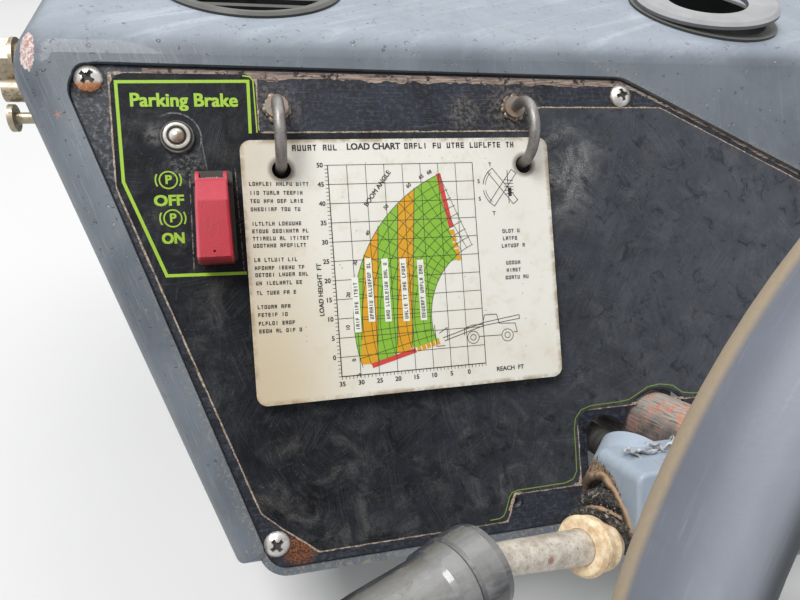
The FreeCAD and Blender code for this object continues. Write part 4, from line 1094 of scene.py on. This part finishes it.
def column_line():
    """Thin printed line that follows the film's edge round the column."""
    ink = Print(FILM + 0.01)
    ink.ribbon(
        [(-120.0, -42.6), (-114.0, -42.4), (-111.2, -41.2), (-109.6, -38.6), (-106.6, -30.4), (-104.8, -28.0),
         (-101.4, -26.9), (-69.0, -26.7), (-63.6, -25.0), (-60.9, -20.6), (-60.5, -8.0), (-60.5, 6.0),
         (-59.2, 12.6), (-55.0, 17.4), (-48.0, 19.4), (-28.0, 19.8), (-21.0, 20.4), (-14.6, 23.4), (-7.0, 27.2),
         (2.0, 28.2), (11.5, 26.4), (18.5, 21.2), (26.0, 19.8), (57.0, 19.8)],
        0.6,
    )
    return ink.mesh("column_line")


def film_edge_marks():
    """Dirt along the overlay's outline, wider and narrower as it dried."""
    ink = Print(0.0, 0.12)
    points = []
    widths = []
    for start, end in zip(FILM_CORNERS, FILM_CORNERS[1:] + FILM_CORNERS[:1]):
        steps = max(1, int(math.dist(start, end) / 2.4))
        for k in range(steps):
            x, y = part_way(start, end, k / steps)
            slow = noise.noise(Vector((x * 0.13, y * 0.13, 2.0)))
            quick = noise.noise(Vector((x * 0.5, y * 0.5, 6.0)))
            widths.append(max(0.5, 1.9 + 0.8 * (slow + quick)))
            points.append((x, y))
    ink.ribbon(points, widths, closed=True)
    return ink.mesh("film_edge_marks")


def peeled_edge():
    """Torn strip along the plate's top edge and down its slope."""
    ink = Print(0.0, 0.18)
    chance = random.Random(5)
    route = ((-300.0, 228.6), (-252.0, 227.9), (-12.0, 224.9), (60.0, 193.0), (150.0, 149.2))
    for start, end in zip(route, route[1:]):
        steps = int(math.dist(start, end) / 1.8)
        upper = []
        lower = []
        for k in range(steps + 1):
            x, y = part_way(start, end, k / steps)
            drift = abs(noise.noise(Vector((x * 0.05, y * 0.05, 9.0))))
            deep = 2.6 + 4.2 * drift + chance.uniform(0, 1.0)
            if start[0] > -20 or start[0] < -290:
                deep *= 0.45
            upper.append((x, y + 0.3))
            lower.append((x, y - deep))
        for k in range(steps):
            ink.patch([lower[k], lower[k + 1], upper[k + 1], upper[k]])
    return ink.mesh("peeled_edge")


# The load chart's print, in its own inks.


def foot_point(reach, height):
    """Point on the chart for a reach and a height in feet."""
    return REACH_ZERO - reach * REACH_FOOT, HEIGHT_ZERO + height * HEIGHT_FOOT


def chart_black():
    """Grid, numbers, words, the machine's outline and the small printing."""
    ink = Print(CARD + 0.08)
    chart_grid(ink)
    ink.marks(-223.4, 182.2, 27.0, 3.3, 11)
    ink.text("LOAD CHART", -177.6, 182.4, 5.1, 0, 0.16, wide=31.0)
    ink.marks(-159.6, 182.6, 69.0, 3.3, 12)
    small_print(ink)
    boom_angles(ink)
    machine_outline(ink)
    fork_diagram(ink)
    return ink.mesh("chart_black")


def chart_grid(ink):
    """Squares of five feet between three bold sides, with a tick for each foot and its numbers."""
    west, south = foot_point(REACH_MOST, HEIGHT_LEAST)
    east, north = foot_point(REACH_LEAST, HEIGHT_MOST)
    for reach in range(REACH_MOST, REACH_LEAST - 1, -5):
        x = foot_point(reach, 0)[0]
        ink.box(x - 0.15, x + 0.15, south, north)
    for height in range(HEIGHT_LEAST, HEIGHT_MOST + 1, 5):
        y = foot_point(0, height)[1]
        ink.box(west, east, y - 0.15, y + 0.15)
    ink.box(west - 0.3, west + 0.2, south, north)
    ink.box(west, east, south - 0.3, south + 0.2)
    ink.box(east - 0.2, east + 0.2, south, north)
    for reach in range(REACH_MOST, REACH_LEAST - 1, -1):
        x = foot_point(reach, 0)[0]
        ink.box(x - 0.14, x + 0.14, south - 1.8, south)
    for height in range(HEIGHT_LEAST, HEIGHT_MOST + 1):
        y = foot_point(0, height)[1]
        ink.box(west - 1.8, west, y - 0.14, y + 0.14)
    for value in range(0, HEIGHT_MOST + 1, 5):
        ink.text(str(value), west - 2.6, foot_point(0, value)[1], 3.6, bold=0.09, align="RIGHT")
    for value in range(0, REACH_MOST + 1, 5):
        ink.text(str(value), foot_point(value, 0)[0], south - 4.3, 3.6, bold=0.09)
    ink.text("LOAD HEIGHT  FT", west - 8.6, 103.0, 3.6, 90, 0.09)
    ink.text("REACH  FT", -104.0, south - 4.4, 3.6, 0, 0.09)


def boom_angles(ink):
    """The boom's angles round the outer arc of the fan."""
    ink.text("BOOM ANGLE", -177.0, 158.5, 3.8, 52, 0.09)
    for angle in (-5, 0, 10, 20, 30, 40, 50, 60, 65, 68):
        turn = math.radians(198 - (angle + 5) * 1.13)
        x, y = around(FAN_CENTRE, FAN_OUTER + 3.4, turn)
        ink.text(str(angle), x, y, 3.0, math.degrees(turn) - 90, 0.07)


def small_print(ink):
    """Paragraphs left of the fan, and notes right of it, as letters that spell nothing."""
    paragraph_lines = (
        (163.0, 33), (158.1, 32), (153.6, 30), (149.1, 27), (141.2, 29), (137.1, 31), (133.1, 31), (129.2, 30),
        (121.4, 24), (117.0, 28), (113.2, 31), (108.7, 26), (103.4, 22), (95.7, 19), (91.4, 18), (86.7, 22),
        (82.5, 23),
    )
    for i, (y, length) in enumerate(paragraph_lines):
        ink.marks(-247.8, y, length, 2.1, 20 + i, -1.6, 0.21)
    side_lines = (
        (-103.0, 131.0, 11), (-103.0, 126.6, 11), (-104.0, 122.2, 16), (-102.0, 112.0, 11), (-102.0, 107.6, 11),
        (-103.0, 103.2, 16),
    )
    for i, (x, y, length) in enumerate(side_lines):
        ink.marks(x, y, length, 2.2, 60 + i)


def machine_outline(ink):
    """Side view of the carrier under its boom, in thin lines."""
    for centre in ((-125.8, 69.4), (-104.3, 69.1)):
        ink.arc(centre, 3.6, 0, 360, 0.35)
        ink.arc(centre, 1.7, 0, 360, 0.35, 14)
    lines = (
        [(-131.0, 71.0), (-131.0, 75.0), (-126.0, 76.6), (-119.6, 76.6), (-118.0, 82.0), (-110.5, 82.0),
         (-109.0, 76.4), (-99.0, 75.8), (-98.0, 70.6), (-100.4, 70.6)],
        [(-122.0, 69.6), (-108.2, 69.4)],
        [(-144.4, 70.6), (-119.0, 77.6), (-96.2, 80.6), (-95.9, 78.4), (-119.0, 75.8), (-143.4, 68.8)],
        [(-149.0, 78.5), (-148.4, 66.0), (-143.4, 66.0)],
        [(-146.5, 73.4), (-141.5, 76.4), (-141.5, 69.0)],
    )
    for line in lines:
        ink.ribbon(line, 0.38)


def fork_diagram(ink):
    """Plan of the carriage turned to either side, seen from above."""
    centre = Vector((-100.5, 157.4))
    for start, end in ((130, 172), (188, 230)):
        ink.arc(centre, 12.8, start, end, 0.4)
        ink.arc(centre, 11.4, start, end, 0.3)
    for lean in (-52, 52):
        run = Vector((math.cos(math.radians(lean)), math.sin(math.radians(lean))))
        across = Vector((-run.y, run.x)) * 1.9
        corners = [centre - run * 12.8 + across, centre + run * 11.6 + across]
        corners += [centre + run * 11.6 - across, centre - run * 12.8 - across]
        ink.ribbon(corners, 0.36, closed=True)
    for y in (-4.4, -2.2, 0.0, 2.2, 4.4):
        ink.ribbon([centre + Vector((0.6, y)), centre + Vector((6.4, y * 0.8))], 0.3)
    ink.ribbon([centre + Vector((3.0, -10)), centre + Vector((3.0, 10))], 0.4)
    ink.box(centre.x + 3.2, centre.x + 5.0, centre.y - 5.6, centre.y - 0.6)
    for letter, x, y in (("S", -15.4, 3.6), ("S", -15.4, -6.8), ("T", -7.6, 13.4), ("T", -7.0, -15.6)):
        ink.text(letter, centre.x + x, centre.y + y, 3.2, bold=0.07)


def between(line, y):
    """The x of a straight line at a height."""
    (x0, y0), (x1, y1) = line
    return x0 + (x1 - x0) * (y - y0) / (y1 - y0)


def fan_left(y):
    return FAN_CENTRE[0] - math.sqrt(max(0.0, FAN_OUTER ** 2 - (y - FAN_CENTRE[1]) ** 2))


def fan_right(y):
    if y < FAN_LOW[1][1]:
        return between(FAN_LOW, y)
    if y > FAN_HIGH[0][1]:
        return between(FAN_HIGH, y)
    return FAN_CENTRE[0] - math.sqrt(FAN_INNER ** 2 - (y - FAN_CENTRE[1]) ** 2)


def band_sides(band, y):
    """Left and right x of one of the fan's bands at a height, kept inside the fan."""
    left = fan_left(y)
    right = fan_right(y)
    start = between(BAND_EDGES[band - 1], y) if band else left
    end = between(BAND_EDGES[band], y) if band < len(BAND_EDGES) else right
    return min(max(start, left), right), min(max(end, left), right)


def fan_bands(name, first, height):
    """Every other band of the fan, cut into level slices from its foot to its tip."""
    ink = Print(height)
    slices = 90
    low = FAN_LOW[0][1]
    high = FAN_HIGH[1][1]
    for i in range(slices):
        y0 = low + (high - low) * i / slices
        y1 = low + (high - low) * (i + 1) / slices
        for band in range(first, len(BAND_EDGES) + 1, 2):
            a0, b0 = band_sides(band, y0)
            a1, b1 = band_sides(band, y1)
            if b0 - a0 > 0.05 and b1 - a1 > 0.05:
                ink.patch([(a0, y0), (b0, y0), (b1, y1), (a1, y1)])
    return ink.mesh(name)


def fan_lines():
    """Boom lines and extension arcs across the fan, and the edges of its bands."""
    ink = Print(CARD + 0.12)
    for i in range(1, 19):
        turn = math.radians(108 + i * 4.7)
        ink.ribbon([around(FAN_CENTRE, radius, turn) for radius in (FAN_INNER, FAN_OUTER)], 0.3)
    for i in range(10):
        ink.arc(FAN_CENTRE, FAN_INNER + (FAN_OUTER - FAN_INNER) * i / 9, 112, 196, 0.3, 30)
    for line in BAND_EDGES:
        ink.ribbon(list(line), 0.4)
    return ink.mesh("fan_lines")


def limit_strip(name, start, end, first, last, count, fill):
    """Blocks along part of one side of the fan, just outside it, as a limit."""
    ink = Print(CARD + 0.03)
    run = math.dist(start, end)
    east = (end[0] - start[0]) / run
    north = (end[1] - start[1]) / run
    step = run * (last - first) / count
    for i in range(count):
        near_end = run * first + step * i
        far_end = near_end + step * fill
        corners = []
        for along, aside in ((near_end, -2.8), (far_end, -2.8), (far_end, 0.0), (near_end, 0.0)):
            corners.append((start[0] + east * along - north * aside, start[1] + north * along + east * aside))
        ink.patch(corners)
    return ink.mesh(name)


def label_plates():
    """White boxes up the bands, for their ratings."""
    ink = Print(CARD + 0.16)
    for x, y, length in LABELS:
        ink.box(x - 1.9, x + 1.9, y - length / 2, y + length / 2)
    return ink.mesh("label_plates")


def label_marks():
    """Ratings in the white boxes, as letters that spell nothing."""
    ink = Print(CARD + 0.22)
    for i, (x, y, length) in enumerate(LABELS):
        ink.marks(x, y - length / 2 + 1.5, length - 3, 2.1, 80 + i, 90)
    return ink.mesh("label_marks")


# Pieces that stand for plain nodes, or add what the solids leave out.


def screw_head():
    """Truss head with a flared cross recess, its seat on the Z axis at 0, in metres."""
    form = bmesh.new()
    ball_r = (SCREW_HEAD_R ** 2 + SCREW_HEAD_H ** 2) / (2 * SCREW_HEAD_H)
    widest = math.asin(SCREW_HEAD_R / ball_r)
    steps = 80
    count = 26
    rings = []
    for k in range(count):
        lean = widest * (1 - k / count)
        radius = ball_r * math.sin(lean)
        ring = []
        for i in range(steps):
            x, y = around((0, 0), radius, math.tau * i / steps)
            z = ball_r * math.cos(lean) - ball_r + SCREW_HEAD_H
            arm = min(abs(x), abs(y))
            length = max(abs(x), abs(y))
            half = 0.75 + 0.10 * length
            if (arm < half and length < 3.9) or radius < 1.9:
                z = min(z, 0.9 + 0.16 * length)
            ring.append(form.verts.new(Vector((x, y, z)) * MM))
        rings.append(ring)
    foot = [form.verts.new(Vector((v.co.x, v.co.y, -SCREW_SEAT * MM))) for v in rings[0]]
    closed_row(form, [foot] + rings)
    return mesh_of(form, "screw_head")


def screw_heads(material):
    """The five heads, each turned as it was left."""
    places = []
    for (x, y), turn in zip(SCREWS, SCREW_TURNS):
        seat = Matrix.Translation((x * MM, y * MM, SCREW_SEAT * MM))
        places.append(FACE @ seat @ Matrix.Rotation(turn, 4, "Z"))
    return repeated("screw_heads", screw_head(), places, 0.0, material)


def weld_bead():
    """One flat drop of a weld, about 4 mm across, in metres."""
    form = bmesh.new()
    lathe(form, ((2.0, -0.9), (2.2, 0.0), (1.7, 0.45), (0.8, 0.7)), ROOM, 14)
    return mesh_of(form, "weld_bead", True)


def weld_places():
    """Beads round the hoops' feet and along the seams of the frame's plates."""
    places = []
    chance = random.Random(31)
    for hoop in HOOPS:
        for i in range(13):
            angle = math.tau * (i + chance.uniform(-0.3, 0.3)) / 13
            x, y = around(hoop, chance.uniform(5.9, 6.8), angle)
            places.append(Matrix.Translation(face(x, y, chance.uniform(0.2, 0.8))) @ FACE_TURN)
    low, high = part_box("mount_plate")
    for node, side in (("frame_side_left", 1), ("frame_side_right", -1)):
        inner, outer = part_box(node)
        x = (outer[0] if side > 0 else inner[0]) + side * 0.8 * MM
        for i in range(60):
            z = low[2] + 0.014 + (high[2] - low[2] - 0.028) * i / 59
            spot = Vector((x, low[1] - 0.8 * MM, z))
            places.append(Matrix.Translation(spot) @ Matrix.Rotation(side * 0.8, 4, "Z"))
    return places


def torn_boot():
    """Perished bellows: a fat roll and a torn flange behind the gland, with deep gaps between."""
    form = bmesh.new()
    run = LEVER_COLLAR - LEVER_ROOT
    seat = FACE @ Matrix.Translation(LEVER_ROOT * MM) @ run.to_track_quat("Z", "Y").to_matrix().to_4x4()
    length = run.length
    marks = (
        (12.6, 0.2), (12.2, 2.4), (9.8, 3.6), (10.0, 4.6), (14.4, 6.0), (16.2, 8.2), (16.4, 10.6), (14.8, 12.8),
        (10.4, 14.0), (10.2, 15.4), (12.0, 16.4), (10.2, 17.6), (14.8, 18.6), (17.0, 19.8), (16.8, 21.2),
        (12.0, 22.6),
    )
    profile = [(8.6, 0.2)]
    for low, high in zip(marks, marks[1:]):
        profile += [part_way(low, high, k / 3) for k in range(3)]
    profile += [marks[-1], (10.4, length - 0.9), (8.6, length - 0.9)]

    def ragged(spot):
        """Push a spot of the outer skin in or out, more behind the flange."""
        radius = math.hypot(spot.x, spot.y)
        if radius < 9.5 or spot.z < 0.5:
            return spot
        angle = math.atan2(spot.y, spot.x)
        seed = Vector((math.cos(angle) * 2.4, math.sin(angle) * 2.4, spot.z * 0.22))
        torn = 2.4 if spot.z > 17.5 else 0.9
        push = torn * noise.noise(seed) + 0.7 * noise.noise(seed * 3.1) + 0.4 * noise.noise(seed * 7.3)
        scale = max(9.6, min(17.8, radius + push)) / radius
        return Vector((spot.x * scale, spot.y * scale, spot.z + 0.5 * push * (spot.z < length - 2.5)))

    lathe(form, profile, seat, 96, ragged)
    return mesh_of(form, "torn_boot", True)


def crumb():
    """Lump of dirt or rubber, 1 mm across."""
    form = bmesh.new()
    bmesh.ops.create_icosphere(form, subdivisions=2, radius=0.5 * MM)
    for vert in form.verts:
        vert.co *= 1 + 0.45 * noise.noise(vert.co / MM * 1.3)
        vert.co.z *= 0.7
    return mesh_of(form, "crumb", True)


def crumb_places():
    """Crumbs lying on the boot's upper side."""
    chance = random.Random(21)
    run = (LEVER_COLLAR - LEVER_ROOT).normalized()
    side = run.cross(Vector((0, 0, 1))).normalized()
    lift = side.cross(run).normalized()
    places = []
    for i in range(120):
        along = chance.uniform(1, 22)
        angle = math.radians(chance.uniform(-80, 80))
        radius = chance.uniform(12.4, 15.0)
        spot = LEVER_ROOT + run * along + (side * math.sin(angle) + lift * math.cos(angle)) * radius
        turn = Matrix.Rotation(chance.uniform(0, 6), 4, "Z") @ Matrix.Rotation(chance.uniform(0, 3), 4, "X")
        places.append(Matrix.Translation(face(*spot)) @ turn)
    return places


def ragged_ring(name, radius, along, thick, walled):
    """Torn roll round the lever; a walled one follows the bore's mouth where it leaves the housing."""
    form = bmesh.new()
    run = (LEVER_COLLAR - LEVER_ROOT).normalized()
    side = run.orthogonal().normalized()
    lift = run.cross(side)
    into_column = COLUMN.inverted() @ FACE
    steps = 90
    sides = 10
    rings = []
    for i in range(steps):
        angle = math.tau * i / steps
        out = side * math.cos(angle) + lift * math.sin(angle)
        spot = LEVER_ROOT + out * radius
        wall = (into_column @ (spot * MM)) / MM
        past = [(wall[k] - HOUSING_WALLS[k]) / WALL_FALL[k] for k in range(2)]
        centre = spot + run * (max(along, min(past)) if walled and min(past) > 0 else along)
        size = thick * (1 + 0.4 * noise.noise(out * 3.0) + 0.3 * noise.noise(out * 9.0))
        ring = []
        for k in range(sides):
            lean = math.tau * k / sides
            rough = size * (1 + 0.4 * noise.noise(out * 14.0 + Vector((0, 0, k * 0.8))))
            ring.append(form.verts.new(face(*(centre + (out * math.cos(lean) + run * math.sin(lean)) * rough))))
        rings.append(ring)
    for low, high in zip(rings, rings[1:] + rings[:1]):
        skin(form, low, high)
    return mesh_of(form, name, True)


def crumpled_bits():
    """Creased scraps of pale film caught on the housing beside the column tube."""
    form = bmesh.new()
    chance = random.Random(8)
    for i in range(6):
        centre = Vector((-82.0 + i * 6.5, 27.5 + chance.uniform(-1.0, 2.5), 90.5 + chance.uniform(0.0, 2.0)))
        wide = chance.uniform(4.5, 6.5)
        lean = Matrix.Rotation(chance.uniform(0.5, 1.3), 3, "X")
        turn = Matrix.Rotation(chance.uniform(-0.9, 0.9), 3, "Z") @ lean
        sheets = []
        for thick in (0.0, 0.35):
            lift = Vector((0, 0, thick))
            rows = [[centre + turn @ spot + lift for spot in row] for row in creased_scrap(i, wide)]
            sheets.append([[form.verts.new(COLUMN @ (spot * MM)) for spot in row] for row in rows])
        under, over = sheets
        for a in range(len(over) - 1):
            for b in range(len(over) - 1):
                form.faces.new((over[a][b], over[a + 1][b], over[a + 1][b + 1], over[a][b + 1]))
                form.faces.new((under[a][b + 1], under[a + 1][b + 1], under[a + 1][b], under[a][b]))
        skin(form, round_the_edge(under), round_the_edge(over))
    return mesh_of(form, "crumpled_bits", True)


def creased_scrap(index, wide):
    """Square grid of spots on one scrap, before it is turned into place."""
    count = 9
    rows = []
    for a in range(count):
        row = []
        for b in range(count):
            u = (a / (count - 1) - 0.5) * 2
            v = (b / (count - 1) - 0.5) * 2
            seed = Vector((u * 1.3 + index * 5.0, v * 1.3, 0.5))
            bend = 2.6 * noise.noise(seed) + 1.2 * noise.noise(seed * 2.7)
            edge = 1 - 0.25 * abs(noise.noise(Vector((u * 2 + index, v * 2, 4.0))))
            row.append(Vector((u * wide * edge, v * wide * 0.6 * edge, bend)))
        rows.append(row)
    return rows


def round_the_edge(rows):
    """What lies round the outside of a square grid, in order."""
    first = [row[0] for row in rows]
    last = [row[-1] for row in rows]
    return first + rows[-1][1:] + last[-2::-1] + rows[0][-2:0:-1]


def hinge_spring():
    """Small wire spring wound round the guard's pin, between its lugs."""
    form = bmesh.new()
    steps = 16
    count = 5 * steps
    sides = 6
    rings = []
    for i in range(count + 1):
        x = GUARD_X - SPRING_HALF + 2 * SPRING_HALF * i / count
        ring = []
        for k in range(sides):
            lean = math.tau * k / sides
            y, height = around(GUARD_PIN, SPRING_R + WIRE_R * math.cos(lean), math.tau * i / steps)
            ring.append(form.verts.new(face(x + WIRE_R * math.sin(lean), y, height)))
        rings.append(ring)
    closed_row(form, rings)
    return mesh_of(form, "hinge_spring", True)


def dial_marks():
    """Ticks and a needle on each gauge, on its dial."""
    ticks = Print(DIAL)
    needle = Print(DIAL + 0.2, 0.2)
    for node in ("gauge_fuel", "gauge_temperature"):
        x, y, radius = gauge_place(node)
        rim = radius - 7.5
        for i in range(25):
            turn = math.radians(225 - 270 * i / 24)
            long, wide = (4.0, 0.8) if i % 6 == 0 else (2.2, 0.4)
            ticks.ribbon([around((x, y), rim - long, turn), around((x, y), rim, turn)], wide)
        turn = math.radians(150)
        needle.ribbon([around((x, y), -5, turn), (x, y), around((x, y), radius - 10, turn)], [2.0, 1.8, 0.5])
    return ticks.mesh("dial_ticks"), needle.mesh("dial_needles")


def gauge_place(node):
    """Centre and radius of a gauge on the face, from its node."""
    low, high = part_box(node)
    turn = FACE.inverted()
    ys = [(turn @ vert.co).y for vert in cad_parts[node].data.vertices]
    return (low[0] + high[0]) / 2 / MM, (min(ys) + max(ys)) / 2 / MM, (high[0] - low[0]) / 2 / MM


# Light, camera and floor.


def studio():
    """Soft daylight from the upper left, a white backdrop and a pale floor."""
    world = bpy.data.worlds.new("studio")
    bpy.context.scene.world = world
    world.use_nodes = True
    world.node_tree.nodes.clear()
    tree = Tree(world.node_tree)
    path = tree.add("ShaderNodeLightPath", {}, {}).outputs
    seen = tree.math("MAXIMUM", path["Is Camera Ray"], path["Is Glossy Ray"]).most(path["Is Transmission Ray"])
    soft = tree.add("ShaderNodeBackground", {}, {"Color": (0.93, 0.96, 1.0, 1), "Strength": 0.36})
    white = tree.add("ShaderNodeBackground", {}, {"Color": (0.9, 0.9, 0.9, 1)})
    blend = tree.add("ShaderNodeMixShader", {}, {0: seen, 1: soft.outputs[0], 2: white.outputs[0]})
    tree.add("ShaderNodeOutputWorld", {}, {"Surface": blend.outputs[0]})
    for name, (spot, aim, size, power) in LAMPS.items():
        light = bpy.data.lights.new(name, "AREA")
        light.size = size
        light.energy = power
        obj = shown(name, light)
        obj.location = spot
        obj.rotation_euler = (Vector(aim) - Vector(spot)).to_track_quat("-Z", "Y").to_euler()


def camera():
    """The photographer's place: above the lever, looking down at the face."""
    lens = bpy.data.cameras.new("camera")
    lens.lens = 27
    lens.sensor_width = 36
    lens.clip_start = 0.01
    obj = shown("camera", lens)
    obj.matrix_world = Matrix(CAMERA)
    bpy.context.scene.camera = obj


def floor(material):
    """Wide square just under the part."""
    half = 6.0
    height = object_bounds()[0][2] - 0.002
    mesh = bpy.data.meshes.new("floor")
    corners = [(x * half, y * half, height) for x, y in ((-1, -1), (1, -1), (1, 1), (-1, 1))]
    mesh.from_pydata(corners, [], [(0, 1, 2, 3)])
    mesh.materials.append(material)
    obj = shown("floor", mesh)
    obj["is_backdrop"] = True


# Dressing of the part.


def dress_nodes():
    """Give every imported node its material."""
    paint = {
        "dash_shell": cowl_paint(),
        "face_plate": plate_paint(),
        "legend_overlay": overlay_film(),
        "plate_screws": screw_zinc(),
        "lamp_bezel": lamp_chrome(),
        "lamp_lens": lamp_pearl(),
        "guard_base": moulded("switch_plastic", (22, 22, 24), (92, 86, 78), 0.4),
        "toggle_lever": zinc_steel("toggle_steel", (196, 196, 192), (140, 138, 132), (120, 90, 66), -0.1),
        "guard_cover": red_guard(),
        "chart_hoops": rod_steel(),
        "chart_card": card_stock(),
        "gauge_fuel": moulded("gauge_black", (20, 20, 22), (96, 94, 88), 0.25, 0.4),
        "gauge_glass": clear_glass(),
        "key_switch": zinc_steel("key_steel", (180, 178, 172), (120, 116, 110), (120, 90, 66), -0.05),
        "rocker_switches": moulded("rocker_black", (26, 26, 28), (98, 94, 88), 0.35),
        "vent_left": moulded("vent_black", (34, 38, 40), (118, 118, 112), 0.6),
        "vent_flange": moulded("vent_grey", (88, 90, 94), (172, 172, 172), 0.8, 0.6),
        "side_fasteners": zinc_steel("bolt_zinc", (196, 184, 160), (122, 114, 102), (128, 94, 66), 0.08),
        "mount_plate": black_paint("frame_paint"),
        "column_jacket": scraped_jacket(),
        "steering_valve": cast_valve(),
        "switch_housing": weathered_housing(),
        "lever_boot": perished_rubber(),
        "lever_collar": cream_gland(),
        "lever_stem": dusty_stem(),
        "lever_grip": grip_plastic(),
        "loom_conduit": moulded("conduit_black", (20, 20, 21), (84, 80, 74), 0.3),
        "steering_shaft": zinc_steel("shaft_steel", (170, 168, 164), (112, 110, 106), (110, 84, 62), -0.05),
        "wheel_rim": worn_rim(),
        "wheel_spokes": black_paint("spoke_paint"),
    }
    same = {
        "gauge_temperature": "gauge_fuel",
        "vent_collar": "vent_left",
        "frame_side_left": "mount_plate",
        "frame_side_right": "mount_plate",
        "column_bracket": "mount_plate",
        "cross_tube": "mount_plate",
        "wheel_cap": "wheel_spokes",
    }
    for name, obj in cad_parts.items():
        for slot in obj.material_slots:
            slot.material = paint[same.get(name, name)]
    return paint


def add_face_pieces(paint):
    """Legends, edges, screws and welds on the dash face."""
    piece("legend_marks", legend_marks(), lime_ink(), "console", "overlay")
    olive = card_ink("ink_olive", (112, 136, 48), (150, 146, 104), 0.5)
    piece("column_line", column_line(), olive, "console", "overlay")
    piece("film_edge_marks", film_edge_marks(), dirt_line(), "console", "overlay")
    piece("peeled_edge", peeled_edge(), peeled_strip(), "console", "plate")
    screws = paint["plate_screws"]
    piece("screw_heads", screw_heads(screws), screws, "console", "screws", "plate_screws")
    weld = zinc_steel("weld_metal", (134, 124, 112), (66, 60, 54), (132, 100, 74), 0.1)
    beads = repeated("weld_beads", weld_bead(), weld_places(), 0.3, weld)
    piece("weld_beads", beads, weld, "console", "frame")
    wire = zinc_steel("spring_wire", (220, 218, 212), (150, 146, 138), (150, 130, 110), 0.04)
    piece("hinge_spring", hinge_spring(), wire, "console", "toggle")
    ticks, needles = dial_marks()
    pale = card_ink("dial_white", (214, 212, 204), (120, 118, 112))
    piece("dial_ticks", ticks, pale, "console", "gauge_can")
    orange = card_ink("needle_orange", (222, 110, 40), (170, 96, 52))
    piece("dial_needles", needles, orange, "console", "gauge_can")


def add_chart_print():
    """The load chart in black, green, orange, red and white inks, on the card."""
    black = card_ink("ink_black", (24, 22, 22), (80, 74, 68))
    green = card_ink("ink_green", (128, 178, 46), (170, 188, 100), 0.5)
    orange = card_ink("ink_orange", (212, 152, 14), (220, 176, 74))
    red = card_ink("ink_red", (196, 62, 54), (206, 132, 112), 0.5)
    white = card_ink("ink_white", (232, 232, 220), (200, 196, 178), 0.5)
    deep = card_ink("ink_deep", (40, 72, 30), (86, 110, 60))
    for name, mesh, ink in (
        ("chart_green", fan_bands("chart_green", 0, CARD + 0.01), green),
        ("chart_orange", fan_bands("chart_orange", 1, CARD + 0.02), orange),
        ("chart_lines", fan_lines(), deep),
        ("limit_upper", limit_strip("limit_upper", *FAN_HIGH, 0.38, 1.0, 1, 1.0), red),
        ("limit_low", limit_strip("limit_low", *FAN_LOW, 0.12, 0.68, 1, 1.0), red),
        ("blocks_upper", limit_strip("blocks_upper", *FAN_HIGH, 0.0, 0.37, 5, 0.8), orange),
        ("blocks_low", limit_strip("blocks_low", *FAN_LOW, 0.7, 1.0, 5, 0.8), orange),
        ("label_plates", label_plates(), white),
        ("label_marks", label_marks(), black),
        ("chart_black", chart_black(), black),
    ):
        piece(name, mesh, ink, "chart", "card")


def add_lever_pieces(paint):
    """Torn boot, its crumbs and rolls, and the scraps on the housing."""
    piece("torn_boot", torn_boot(), paint["lever_boot"], "console", "boot", "lever_boot")
    dirt = moulded("crumb_dirt", (66, 60, 56), (150, 142, 132), 0.8, 0.8)
    crumbs = repeated("boot_crumbs", crumb(), crumb_places(), 0.45, dirt)
    piece("boot_crumbs", crumbs, dirt, "console", "boot")
    piece("crumpled_bits", crumpled_bits(), faded_film(), "console", "housing")
    torn = moulded("torn_lip", (70, 58, 48), (172, 144, 116), 1.0, 0.85)
    piece("mouth_lip", ragged_ring("mouth_lip", 16.4, 0.5, 2.2, True), torn, "console", "boot")
    piece("boot_ring", ragged_ring("boot_ring", 12.4, 16.0, 1.1, False), torn, "console", "boot")


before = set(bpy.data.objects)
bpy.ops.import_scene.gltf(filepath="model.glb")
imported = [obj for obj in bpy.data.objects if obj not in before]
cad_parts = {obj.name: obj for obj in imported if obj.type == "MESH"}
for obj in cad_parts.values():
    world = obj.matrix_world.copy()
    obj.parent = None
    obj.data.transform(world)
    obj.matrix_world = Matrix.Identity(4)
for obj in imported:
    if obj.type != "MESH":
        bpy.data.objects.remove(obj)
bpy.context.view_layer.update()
bpy.context.scene.view_settings.view_transform = "Standard"
REPEAT = repeat_tree()
camera()
studio()
floor(pale_floor())
paints = dress_nodes()
add_face_pieces(paints)
add_chart_print()
add_lever_pieces(paints)
